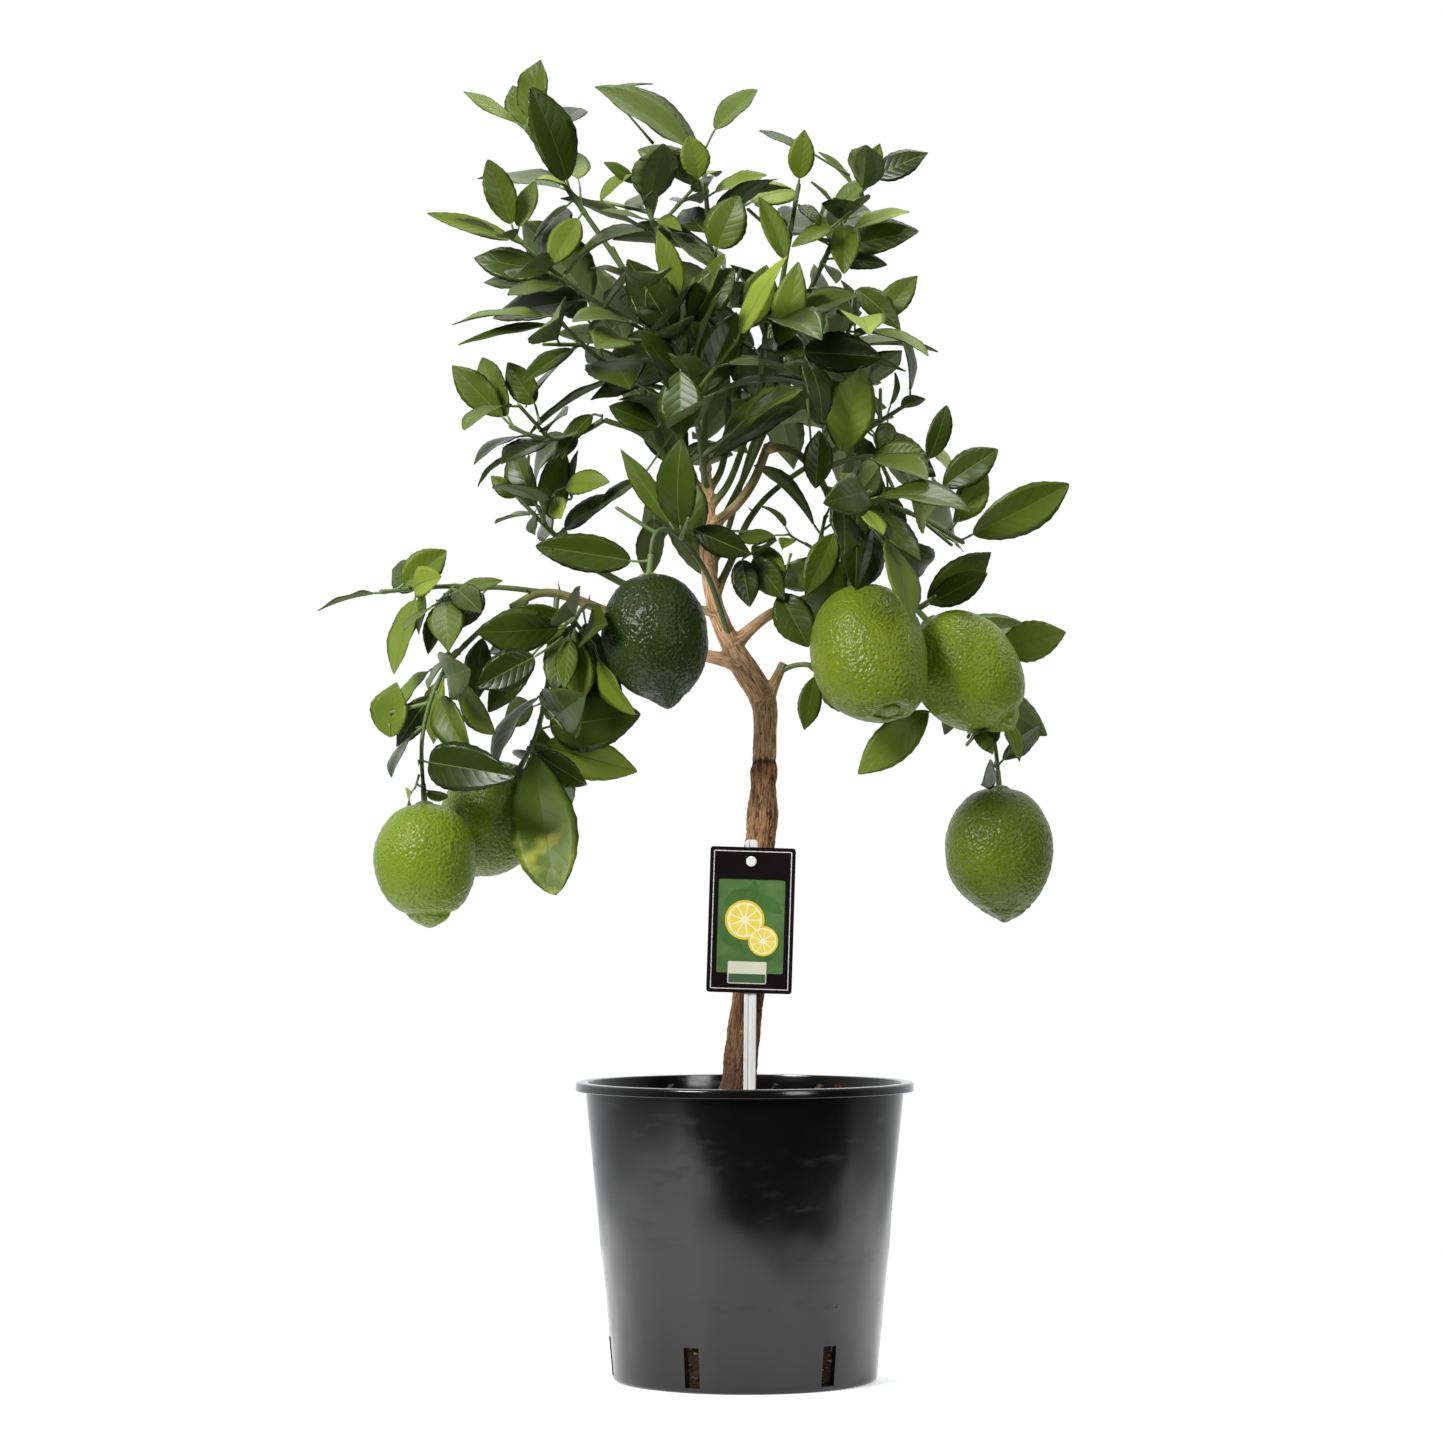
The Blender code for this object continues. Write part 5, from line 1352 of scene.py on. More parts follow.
# %% [markdown]
# ## Leaves
# A citrus leaf is a thin glossy blade, dark above and matt grey-green beneath, with a pale rib, a slight fold along
# it, a bend over its length and an edge that waves. Each one is built as a closed skin: an upper and a lower grid
# that share their rim, with the rib as a narrow strip of its own, so that all its colours are plain and stay where
# they belong however small the leaf is. The tone goes by the dice, and by age.

# %% One fine leaf
STATIONS = 22
RIB_HALF = 0.42 * MM
BLADE_THICK = 0.45 * MM
SLIMMER = 0.97
CRENATION = 0.018
UPPER_SHARES = (-1, -0.72, -0.4, "-rib", "rib", 0.4, 0.72, 1)
LOWER_SHARES = (-0.5, "-rib", 0, "rib", 0.5)
TONES = 5
RIB_FINISH, UNDER_FINISH, UNDER_RIB_FINISH = TONES, TONES + 1, TONES + 2


def blade_wave(rng):
    """A function of share and side that gives a leaf its own twist, cupped halves and waved edge."""
    twist = math.tan(math.radians(rng.uniform(-16, 16)))
    cup = rng.uniform(-0.10, 0.05)
    swings = [(rng.uniform(1.0, 2.4), rng.uniform(0, math.tau), rng.uniform(0.02, 0.085)) for _ in range(2)]
    puff = rng.uniform(0.15, 0.42) * MM
    veins = rng.uniform(6.5, 8.5)

    def wave(share, side, half):
        part = side / half if half else 0
        often, start, height = swings[side > 0]
        edge = height * math.sin(often * math.tau * share + start) * part * part
        pillow = puff * math.sin(math.tau * (veins * share - 0.9 * abs(part))) * (1 - part * part) * min(1, abs(part) * 4)
        return half * (edge + cup * part * part) + twist * side * (share - 0.3) + pillow

    return wave


def fine_leaf(heap, leaf, rng, tone, outline=None):
    """Adds a blade to the heap: its start, thirteen points at each station, and its tip."""
    wave = blade_wave(rng)
    widest = leaf.width * SLIMMER / 2
    early, full, point = rng.uniform(0.74, 1.0), rng.uniform(0.64, 0.86), rng.uniform(0.05, 0.4)
    if outline:
        early, full, point = outline
    points, marks = [on_leaf(leaf, 0)], [(0, 0, 1)]
    for i in range(1, STATIONS):
        even = i / STATIONS
        share = 0.7 * (0.5 - 0.5 * math.cos(math.pi * even)) + 0.3 * even
        taper = 1 - point * max(0.0, (share - 0.72) / 0.28) ** 1.2
        half = widest * math.sin(math.pi * share**early) ** full * taper
        toothed = half * (1 + CRENATION * (-1) ** i)
        rib = min(RIB_HALF * (1 - 0.65 * share), 0.3 * half)
        for column in UPPER_SHARES:
            if isinstance(column, str):
                side = rib if column == "rib" else -rib
            else:
                side = column * (toothed if abs(column) == 1 else half)
            groove = -0.15 * MM if isinstance(column, str) else 0
            points.append(on_leaf(leaf, share, side, wave(share, side, half) + groove))
            marks.append((share, side / half, 1))
        for column in LOWER_SHARES:
            if isinstance(column, str):
                side = 1.3 * rib if column == "rib" else -1.3 * rib
            else:
                side = column * half
            sunk = BLADE_THICK + (0.55 * MM * (1 - 0.7 * share) if column == 0 else 0)
            points.append(on_leaf(leaf, share, side, wave(share, side, half) - sunk))
            marks.append((share, side / half, 1))
    points.append(on_leaf(leaf, 1))
    marks.append((1, 0, 1))
    upper, lower = list(range(8)), [0, 8, 9, 10, 11, 12, 7]
    upper_finish = [tone, tone, tone, RIB_FINISH, tone, tone, tone]
    lower_finish = [UNDER_FINISH, UNDER_FINISH, UNDER_RIB_FINISH, UNDER_RIB_FINISH, UNDER_FINISH, UNDER_FINISH]
    faces, finishes = [], []
    last = len(points) - 1
    for columns, kinds in ((upper, upper_finish), (lower, lower_finish)):
        for a, b, kind in zip(columns, columns[1:], kinds):
            faces.append((0, 1 + a, 1 + b))
            finishes.append(kind)
            for i in range(STATIONS - 2):
                here, there = 1 + 13 * i, 14 + 13 * i
                faces.append((here + a, there + a, there + b, here + b))
                finishes.append(kind)
            here = 1 + 13 * (STATIONS - 2)
            faces.append((here + a, last, here + b))
            finishes.append(kind)
    heap.add(points, faces, finishes, marks)


def leaf_stalk(leaf, ways, young):
    """The stalk from the nearest point of its twig to the blade."""
    nearest = min((p for path, _ in ways for p in path), key=lambda p: (p - leaf.base).length)
    start, end = nearest.lerp(leaf.base, 0.3), on_leaf(leaf, 0.02)
    way = curve(start, start.lerp(end, 0.4) + UP * -0.6 * MM, on_leaf(leaf, -0.3), end, 5)
    size = 0.75 if young else 1.0
    radii = [r * size * MM for r in (1.15, 0.85, 0.75, 0.78, 0.8, 0.5)]
    twig_heap.add(*tube(way, radii, 6), STALK_FINISH)


# %% Side veins
side_veins, given, result = group_of("side_veins", {"Height": "Float"}, Spot=(0.0, 0.0, 0.0), Count=8.0, Slant=2.0)


def worked(operation, *values):
    """A Math node in the group, its inputs sockets or numbers."""
    return add_node(side_veins, "Math", *values, operation=operation)[0]


parts = add_node(side_veins, "SeparateXYZ", given["Spot"])
along_rib = worked("MULTIPLY", parts["X"], given["Count"])
slanted = worked("SUBTRACT", along_rib, worked("MULTIPLY", worked("ABSOLUTE", parts["Y"]), given["Slant"]))
pillows = worked("ABSOLUTE", worked("SINE", worked("MULTIPLY", slanted, math.pi)))
set_inputs(result, worked("POWER", pillows, 0.6))

# %% Deal out leaf tones
DARKEST, DARK, MIDDLE, FRESH, YOUNG = range(TONES)
REGIONS = {
    "leaves_top": ("top_left", "top_centre", "top_mid", "top_inner", "top_right"),
    "leaves_left": ("left_high", "left_shoulder", "left_mid", "left_low", "core_left"),
    "leaves_right": ("right_high", "right_shoulder", "right_out", "right_out_low", "core_right", "core_front"),
    "leaves_low_left": ("left_tip", "left_hanging", "left_inner", "left_cover", "dark_fruit"),
    "leaves_low_right": (
        "right_cover", "front_fruit", "side_fruit", "low_fruit", "low_right", "right_inner",
    ),
    "leaves_back": ("back_right", "back_left", "back_top", "back_outer", "back_low"),
}


def tone_of(rng, young):
    if young:
        return rng.choices((MIDDLE, FRESH, YOUNG), (2, 4, 2))[0]
    return rng.choices((DARKEST, DARK, MIDDLE, FRESH, YOUNG), (4, 6, 5, 2, 0.5))[0]


def leaf_finish(name, light, dark, roughness):
    """A leaf's finish, with its side veins as a bump drawn by the place on the leaf."""
    made = finish(name, light, dark, roughness, 30, softness=0.4, Specular_IOR_Level=0.26)
    spot = add_node(made.node_tree, "Attribute", attribute_name="on_leaf")["Vector"]
    ribs = add_node(made.node_tree, "Group", node_tree=side_veins, Spot=spot, Count=7.5, Slant=1.9)
    return bumped(made, ribs["Height"], 0.11 * MM)


leaf_finishes = [
    leaf_finish("leaf_darkest", (0.034, 0.052, 0.005), (0.014, 0.025, 0.003), 0.29),
    leaf_finish("leaf_dark", (0.060, 0.092, 0.007), (0.030, 0.050, 0.004), 0.34),
    leaf_finish("leaf_middle", (0.100, 0.145, 0.010), (0.055, 0.088, 0.006), 0.41),
    leaf_finish("leaf_fresh", (0.155, 0.215, 0.015), (0.10, 0.148, 0.010), 0.48),
    leaf_finish("leaf_young", (0.27, 0.34, 0.035), (0.17, 0.235, 0.022), 0.50),
    leaf_finish("leaf_rib", (0.13, 0.175, 0.028), (0.085, 0.12, 0.018), 0.5),
    leaf_finish("leaf_underside", (0.15, 0.19, 0.060), (0.10, 0.135, 0.040), 0.62),
    leaf_finish("leaf_under_rib", (0.22, 0.27, 0.09), (0.15, 0.19, 0.06), 0.55),
]
blotched = leaf_finish("leaf_blotched", (0.36, 0.37, 0.045), (0.085, 0.135, 0.010), 0.45)
tree = blotched.node_tree
share = add_node(tree, "SeparateXYZ", tree.nodes["Attribute"].outputs["Vector"])["X"]
set_inputs(tree.nodes["Group"], Scale=50, Softness=0.1, Balance=ranged(tree, share, 0.35, 0.7, 0.85, 0.49))

# %% Make the leaves
sick_heap = Heap()
BLUNT = (1.3, 0.66, 0)
for region, names in REGIONS.items():
    heap = Heap()
    for name in names:
        rng = random.Random(f"{name} tones")
        for young, kept in ((False, leaves[name]), (True, young_leaves[name])):
            for leaf in kept:
                sick = leaf is sick_leaf
                tone = stated_tones.get(id(leaf), tone_of(rng, young))
                if sick:
                    broad = leaf._replace(width=leaf.width * 1.02, length=leaf.length * 1.04)
                    fine_leaf(sick_heap, broad, rng, tone, BLUNT)
                else:
                    fine_leaf(heap, leaf, rng, tone)
                leaf_stalk(leaf, fine_twigs[name], young)
    piece(region, heap, leaf_finishes, "foliage", [f"{name}_leaves" for name in names])
sick_finishes = [blotched if number < TONES else each for number, each in enumerate(leaf_finishes)]
piece("blotched_leaf", sick_heap, sick_finishes, "foliage", [])

twig_finishes = [
    finish("stem_green", (0.12, 0.17, 0.045), (0.07, 0.11, 0.03), 0.5, 90),
    finish("shoot_green", (0.17, 0.25, 0.06), (0.11, 0.17, 0.04), 0.45, 90),
    finish("stalk_green", (0.19, 0.27, 0.075), (0.12, 0.19, 0.05), 0.45, 90),
    finish("thorn_brown", (0.12, 0.075, 0.035), (0.055, 0.034, 0.02), 0.5, 150),
]
piece("twigs_and_stalks", twig_heap, twig_finishes, "foliage", [])

# %% [markdown]
# ## Lemons
# A lemon is a lathed body with a blunt shoulder, a long taper and a ridged nipple. What makes it a fruit and not an
# egg is the uneven peel: broad lumps, creases that run into both ends, and pores all over. Lumps and creases are
# real shape here, and the pores are a bump, since each is under two millimetres wide. A green star of calyx and a
# thick stalk hold it.

# %% Lemon shape
PEEL_SIDES = 160
PEEL_STEPS = 5
PEEL_PROFILE = [
    (0, 0.004), (0.10, 0.001), (0.20, 0.006), (0.40, 0.028), (0.60, 0.075), (0.78, 0.155), (0.91, 0.25), (0.98, 0.34),
    (1.0, 0.44), (0.985, 0.54), (0.94, 0.63), (0.86, 0.71), (0.75, 0.78), (0.62, 0.835),
]
KNOB = [(0.50, 0.872), (0.40, 0.893), (0.365, 0.905), (0.34, 0.92), (0.275, 0.94), (0.195, 0.96), (0.125, 0.975),
        (0.08, 0.988), (0.04, 0.998), (0, 1)]
CONE = [(0.52, 0.862), (0.42, 0.879), (0.385, 0.893), (0.365, 0.91), (0.31, 0.932), (0.24, 0.953), (0.155, 0.974),
        (0.07, 0.992), (0, 1)]
POINT = [(0.52, 0.866), (0.42, 0.888), (0.335, 0.908), (0.265, 0.93), (0.20, 0.952), (0.13, 0.975), (0.06, 0.992),
         (0, 1)]
HOLLOW = [(0.50, 0.872), (0.38, 0.893), (0.30, 0.896), (0.25, 0.885), (0.20, 0.884), (0.16, 0.897), (0.11, 0.903),
          (0.05, 0.905), (0, 0.905)]
PEEL_FINISH, CALYX_FINISH = range(2)


def smooth_profile(points, steps):
    """More points on a smooth line through these (radius, depth) pairs."""
    line = [Vector((radius, 0, depth)) for radius, depth in points]
    ends = [2 * line[0] - line[1], *line, 2 * line[-1] - line[-2]]
    fine = []
    for i in range(len(line) - 1):
        a, b, c, d = ends[i : i + 4]
        for k in range(steps):
            t = k / steps
            square, cube = 2 * a - 5 * b + 4 * c - d, 3 * b - a - 3 * c + d
            place = 0.5 * (2 * b + (c - a) * t + square * t * t + cube * t**3)
            fine.append((max(place.x, 0), place.z))
    return [*fine, (0, line[-1].z)]


def rind(spot):
    """The height of the peel's cobbles in millimetres: rounded cells with narrow creases between them."""
    cobbles = min(1.0, abs(noise.noise(spot * 0.30)) * 2.6)
    small = min(1.0, abs(noise.noise(spot * 0.62 + Vector((5, 2, 8)))) * 2.4)
    return 0.34 * (cobbles - 0.5) + 0.30 * (small - 0.5)


def lemon(name, skin, end, nose, lean, seed):
    """One fruit, its nipple scaled and leaned sideways, with its calyx and the end of its stalk."""
    fruit, settled = FRUITS[name], SETTLED[name]
    axis = Vector(settled.axis).normalized()
    first, second = square_to(axis)
    half, length = fruit.width * settled.wide * MM / 2, fruit.length * settled.tall * MM
    top = (Vector(fruit.centre) + Vector(settled.shift)) * MM
    top -= Vector(fruit.axis).normalized() * fruit.length * MM / 2
    shift = Vector((seed * 7.3, seed * 3.1, seed * 5.7))
    aside = Vector(lean) * MM
    points, rings, faces = [], [], []
    for radius, depth in smooth_profile([*PEEL_PROFILE, *end], PEEL_STEPS):
        tail = max(0.0, min(1.0, (depth - 0.6) / 0.35)) ** 2
        middle = top + axis * length * depth + aside * tail
        if radius < 1e-6:
            rings.append([len(points)] * PEEL_SIDES)
            points.append(middle)
            continue
        rings.append(list(range(len(points), len(points) + PEEL_SIDES)))
        nipple = max(0.0, min(1.0, (depth - 0.86) / 0.03))
        shoulder = max(0.0, 1 - depth / 0.08)
        plain = min(1.0, radius * 2.5)
        for k in range(PEEL_SIDES):
            turn = math.tau * k / PEEL_SIDES
            outward = first * math.cos(turn) + second * math.sin(turn)
            broad = noise.noise(outward * 0.9 + axis * depth * 2.2 + shift)
            lumps = noise.noise(outward * 2.6 + axis * depth * 6 + shift * 2)
            folds = noise.noise(outward * 2.4 + axis * depth * 9 + shift) + 0.5 * math.sin(6 * turn + seed)
            wide = radius * half * (1 + 0.030 * broad + 0.014 * lumps + folds * (0.13 * nipple + 0.06 * shoulder))
            wide *= 1 + (nose - 1) * nipple
            place = middle + outward * wide
            spot = (place - top) / MM + shift * 9
            points.append(place + (outward * plain + axis * (depth - 0.5) * 0.6) * rind(spot) * MM)
    for upper, lower in zip(rings, rings[1:]):
        for k in range(PEEL_SIDES):
            after = (k + 1) % PEEL_SIDES
            faces.append(tuple(dict.fromkeys((upper[k], upper[after], lower[after], lower[k]))))
    heap = Heap()
    heap.add(points, faces, PEEL_FINISH)
    add_calyx(heap, top, axis, first, second, name)
    return piece(name + "_lemon", heap, [skin, twig_finishes[STALK_FINISH]], "foliage", [])


def add_calyx(heap, top, axis, first, second, name):
    """Five blunt sepals round a stalk that thickens into the fruit."""
    sides, points, faces = 40, [top + axis * 3.0 * MM], []
    for radius, lift in ((5.0, -1.2), (5.2, 0.1), (4.2, 0.9), (2.9, 1.5)):
        for k in range(sides):
            turn = math.tau * k / sides
            lobe = 1 + 0.16 * math.cos(5 * turn) * (radius > 3)
            outward = first * math.cos(turn) + second * math.sin(turn)
            points.append(top + outward * radius * lobe * MM - axis * lift * MM)
    points.append(top - axis * 2.0 * MM)
    for k in range(sides):
        after = (k + 1) % sides
        faces.append((0, 1 + k, 1 + after))
        faces.append((1 + 3 * sides + k, len(points) - 1, 1 + 3 * sides + after))
        for ring in range(3):
            a, b = 1 + ring * sides + k, 1 + ring * sides + after
            faces.append((a, a + sides, b + sides, b))
    heap.add(points, faces, CALYX_FINISH)
    path, radii = fine_twigs[name][0]
    tail = path[-6:]
    grow = [1.05 + 0.35 * (i / (len(tail) - 1)) ** 2 for i in range(len(tail))]
    heap.add(*tube(tail, [r * g * 1.25 for r, g in zip(radii[-6:], grow)], 12), CALYX_FINISH)


# %% Peel finishes and the six lemons
def peel(name, light, dark):
    """A pored skin, with painted shade in its pits."""
    made = finish(name, light, dark, 0.31, 22, softness=0.35, Specular_IOR_Level=0.24)
    tree = made.node_tree
    pits = add_node(tree, "Group", node_tree=pores, Scale=500, Roundness=0.8)["Height"]
    skin = tree.nodes["Group"].outputs["Color"]
    # Painted shade: the skin colour is darkened where the pore bump is low, in the pits.
    shaded = blended(tree, ranged(tree, pits, 0.35, 0.1), skin, (0.60, 0.72, 0.5), "MULTIPLY")
    set_inputs(tree.nodes["Principled BSDF"], Base_Color=shaded)
    return bumped(made, pits, 1.1 * MM)


lemon("front_fruit", peel("peel_pale", (0.20, 0.24, 0.013), (0.10, 0.165, 0.009)), HOLLOW, 1.0, (9, -12, 3), 1)
lemon("side_fruit", peel("peel_pale_side", (0.23, 0.29, 0.016), (0.115, 0.18, 0.010)), KNOB, 0.85, (3, 0, 0), 2)
lemon("left_hanging", peel("peel_yellowing", (0.20, 0.27, 0.015), (0.10, 0.18, 0.009)), CONE, 1.0, (2, 0, 0), 3)
lemon("low_fruit", peel("peel_green", (0.125, 0.17, 0.008), (0.062, 0.11, 0.007)), KNOB, 1.1, (5, 0, 0), 4)
lemon("left_inner", peel("peel_shaded", (0.13, 0.185, 0.012), (0.07, 0.115, 0.008)), KNOB, 1.0, (0, 0, 0), 5)
lemon("dark_fruit", peel("peel_dark", (0.026, 0.046, 0.006), (0.014, 0.028, 0.004)), POINT, 1.05, (3, 0, 0), 6)

# %% [markdown]
# ## Pot
# A blow-moulded nursery pot has a thin wall with soft dents, a turned-over lip and slots round its foot. It is lathed
# from a profile with rounded edges, the dents are a slow ripple of the wall, and the slots are cut through it.

# %% Pot and slot sizes
# Pot
POT_HEIGHT = 188.5 * MM
FOOT_RADIUS = 84.0 * MM
NECK_RADIUS = 101.4 * MM
RIM_RADIUS = 107.8 * MM
POT_WALL = 2.0 * MM
LIP_DROP = 5.5 * MM
LIP_WALL = 1.6 * MM
FOOT_ROUNDING = 3.0 * MM
SLOTS = 6
SLOT_TURN = math.radians(-22.5)
SLOT_WIDTH = 10.0 * MM
SLOT_LOW = 3.5 * MM
SLOT_HIGH = 28.5 * MM


def lathed(profile, sides):
    """Points and faces of a profile of (radius, height) turned round the Z axis, its ends on the axis."""
    points, rings, faces = [], [], []
    for radius, height in profile:
        if radius == 0:
            rings.append([len(points)] * sides)
            points.append((0, 0, height))
            continue
        rings.append(list(range(len(points), len(points) + sides)))
        for k in range(sides):
            turn = math.tau * k / sides
            points.append((radius * math.cos(turn), radius * math.sin(turn), height))
    for lower, upper in zip(rings, rings[1:]):
        for k in range(sides):
            after = (k + 1) % sides
            ring = (lower[k], lower[after], upper[after], upper[k])
            faces.append(tuple(dict.fromkeys(ring)))
    return points, faces


def block(size):
    """Points and faces of a box that stands on the origin."""
    x, y, z = size
    points = [(a * x / 2, b * y / 2, c) for c in (0, z) for a, b in ((-1, -1), (1, -1), (1, 1), (-1, 1))]
    return points, [(3, 2, 1, 0), (4, 5, 6, 7), *((k, (k + 1) % 4, 4 + (k + 1) % 4, 4 + k) for k in range(4))]


def wall_radius(height):
    """The pot's outer radius at this height below its lip."""
    return FOOT_RADIUS + (NECK_RADIUS - FOOT_RADIUS) * height / (POT_HEIGHT - LIP_DROP)


def cut_from(base, cutters):
    """Cuts the cutters out of the base, and removes them."""
    group = bpy.data.collections.new(base.name + "_cutters")
    scene.collection.children.link(group)
    for cutter in cutters:
        group.objects.link(cutter)
    boolean = base.modifiers.new("cut", "BOOLEAN")
    boolean.operation = "DIFFERENCE"
    boolean.operand_type = "COLLECTION"
    boolean.collection = group
    boolean.solver = "EXACT"
    graph = bpy.context.evaluated_depsgraph_get()
    cut = bpy.data.meshes.new_from_object(base.evaluated_get(graph))
    base.modifiers.clear()
    for cutter in cutters:
        bpy.data.objects.remove(cutter, do_unlink=True)
    bpy.data.collections.remove(group)
    return cut


def plain_object(name, shape):
    mesh = bpy.data.meshes.new(name)
    mesh.from_pydata([tuple(p) for p in shape[0]], [], shape[1])
    body = bmesh.new()
    body.from_mesh(mesh)
    bmesh.ops.recalc_face_normals(body, faces=body.faces)
    body.to_mesh(mesh)
    body.free()
    made = bpy.data.objects.new(name, mesh)
    return made


# %% Lathe the pot
POT_FINE_SIDES = 192
WALL_RINGS = 26
DENT = 0.8 * MM
skirt = RIM_RADIUS - LIP_WALL
rise = POT_HEIGHT - LIP_WALL - 0.8 * MM
outer = [(0, 0.6 * MM), (FOOT_RADIUS - 9 * MM, 0.6 * MM), (FOOT_RADIUS - 6 * MM, 0), (FOOT_RADIUS - 3 * MM, 0),
         (FOOT_RADIUS - 1.3 * MM, 0.35 * MM), (FOOT_RADIUS - 0.3 * MM, 1.3 * MM)]
outer += [(wall_radius(h), h) for h in np.linspace(3 * MM, rise, WALL_RINGS)]
lip = [
    (skirt - 0.6 * MM, rise + 0.7 * MM), (skirt, rise), (skirt, POT_HEIGHT - LIP_DROP + 0.4 * MM),
    (skirt + 0.4 * MM, POT_HEIGHT - LIP_DROP), (RIM_RADIUS - 0.4 * MM, POT_HEIGHT - LIP_DROP),
    (RIM_RADIUS, POT_HEIGHT - LIP_DROP + 0.4 * MM), (RIM_RADIUS, POT_HEIGHT - 1.4 * MM),
    (RIM_RADIUS - 0.4 * MM, POT_HEIGHT - 0.5 * MM), (RIM_RADIUS - 1.3 * MM, POT_HEIGHT),
]
inner_top = wall_radius(POT_HEIGHT) - POT_WALL
inner = [(inner_top + 0.9 * MM, POT_HEIGHT), (inner_top + 0.2 * MM, POT_HEIGHT - 0.3 * MM)]
inner += [(wall_radius(h) - POT_WALL, h) for h in np.linspace(POT_HEIGHT - 1.2 * MM, 2 * POT_WALL, WALL_RINGS)]
inner += [(wall_radius(POT_WALL) - 2 * POT_WALL, POT_WALL), (0, POT_WALL)]
points, faces = lathed([*outer, *lip, *inner], POT_FINE_SIDES)


def dented(point):
    """The point moved in or out with the wall's slow ripple."""
    x, y, z = point
    radius = math.hypot(x, y)
    if radius < 0.5 * FOOT_RADIUS:
        return point
    ripple = noise.noise(Vector((x / radius * 2.1, y / radius * 2.1, z * 13)))
    ripple += 0.45 * noise.noise(Vector((x / radius * 5.5, y / radius * 5.5, z * 34)))
    grow = 1 + DENT * ripple * math.sin(math.pi * min(z / POT_HEIGHT, 1)) / radius
    return x * grow, y * grow, z


pot_blank = plain_object("pot_blank", ([dented(p) for p in points], faces))
scene.collection.objects.link(pot_blank)
slot_cutters = []
for k in range(SLOTS):
    shape = block((SLOT_WIDTH, 40 * MM, SLOT_HIGH - SLOT_LOW))
    turn = Matrix.Rotation(SLOT_TURN + math.tau * k / SLOTS, 3, "Z")
    place = Vector((0, -FOOT_RADIUS, SLOT_LOW))
    slot_cutters.append(plain_object(f"slot_{k}", ([turn @ (Vector(p) + place) for p in shape[0]], shape[1])))
pot_mesh = cut_from(pot_blank, slot_cutters)
bpy.data.objects.remove(pot_blank, do_unlink=True)

# %% [markdown]
# The plastic is nearly black and glossy, with fine scuffs that break up the reflections. A small raised frame at
# the lower right is the mark that the mould's insert leaves.

# %% Pot finish
black_plastic = finish(
    "black_plastic", (0.0042, 0.0042, 0.0046), (0.0024, 0.0024, 0.0026), 0.2, 22, Specular_IOR_Level=0.5,
)
tree = black_plastic.node_tree
fine_marks = add_node(tree, "Group", node_tree=scuffs, Scale=26, Stretch=3, Threshold=0.55)["Mask"]
set_inputs(tree.nodes["Principled BSDF"], Roughness=ranged(tree, fine_marks, 0, 1, 0.15, 0.27))

heap = Heap()
heap.add([v.co for v in pot_mesh.vertices], [tuple(p.vertices) for p in pot_mesh.polygons], 0)
MARK_TURN = math.radians(37)
MARK_HEIGHT = 52 * MM
mark_out = wall_radius(MARK_HEIGHT)
turn = Matrix.Rotation(MARK_TURN, 3, "Z")
for x, z, wide, high in ((0, 0, 8.6, 0.7), (0, 4.6, 8.6, 0.7), (-4, 0, 0.7, 5.3), (4, 0, 0.7, 5.3)):
    bar = block((wide * MM, 1.6 * MM, high * MM))
    place = Vector((x * MM, -mark_out + 0.45 * MM, MARK_HEIGHT + z * MM))
    heap.add([turn @ (Vector(p) + place) for p in bar[0]], bar[1], 0)
piece("nursery_pot", heap, [black_plastic], "pot_plastic", ["pot"], smooth_under=40)

# %% [markdown]
# ## Compost
# Potting compost is peat with bits of bark. Its top is a lumpy disc with a few hundred
# loose chips pressed into it. Some stand up far enough to show over the rim.

# %% Compost body
SOIL_RINGS, SOIL_FINE_SIDES = 60, 180
soil_edge = wall_radius(SOIL_TOP) - POT_WALL - GAP


def soil_height(x, y):
    """The compost's height: broad humps and crumbs."""
    here = Vector((x, y, 0))
    humps = 2.2 * noise.noise(here * 28) + 1.3 * noise.noise(here * 75) + 0.8 * noise.noise(here * 210)
    return SOIL_TOP + (humps + 0.4) * MM


heap = Heap()
points = [(0, 0, soil_height(0, 0))]
for ring in range(1, SOIL_RINGS + 1):
    for k in range(SOIL_FINE_SIDES):
        turn = math.tau * k / SOIL_FINE_SIDES
        x, y = (soil_edge * ring / SOIL_RINGS * f(turn) for f in (math.cos, math.sin))
        points.append((x, y, soil_height(x, y)))
below = list(np.linspace(SOIL_TOP - 6 * MM, 2.4 * MM, 24))
for height in below:
    for k in range(SOIL_FINE_SIDES):
        turn = math.tau * k / SOIL_FINE_SIDES
        clods = noise.noise(Vector((math.cos(turn) * 6, math.sin(turn) * 6, height * 75)))
        radius = wall_radius(height) - POT_WALL - GAP - (1.6 + 1.5 * clods) * MM
        points.append((radius * math.cos(turn), radius * math.sin(turn), height))
points.append((0, 0, 2.4 * MM))
faces = []
rings = SOIL_RINGS + len(below)
for k in range(SOIL_FINE_SIDES):
    after = (k + 1) % SOIL_FINE_SIDES
    faces.append((0, 1 + k, 1 + after))
    for ring in range(rings - 1):
        a, b = 1 + ring * SOIL_FINE_SIDES + k, 1 + ring * SOIL_FINE_SIDES + after
        faces.append((a, a + SOIL_FINE_SIDES, b + SOIL_FINE_SIDES, b))
    low = 1 + (rings - 1) * SOIL_FINE_SIDES
    faces.append((low + k, len(points) - 1, low + after))
heap.add(points, faces, 0)

# %% Bark chips
CHIPS = 620
CHIP_SIZES = (2.5, 7.0)
chip_kinds = (0.55, 0.3, 0.1, 0.05)
rng = random.Random("bark chips")


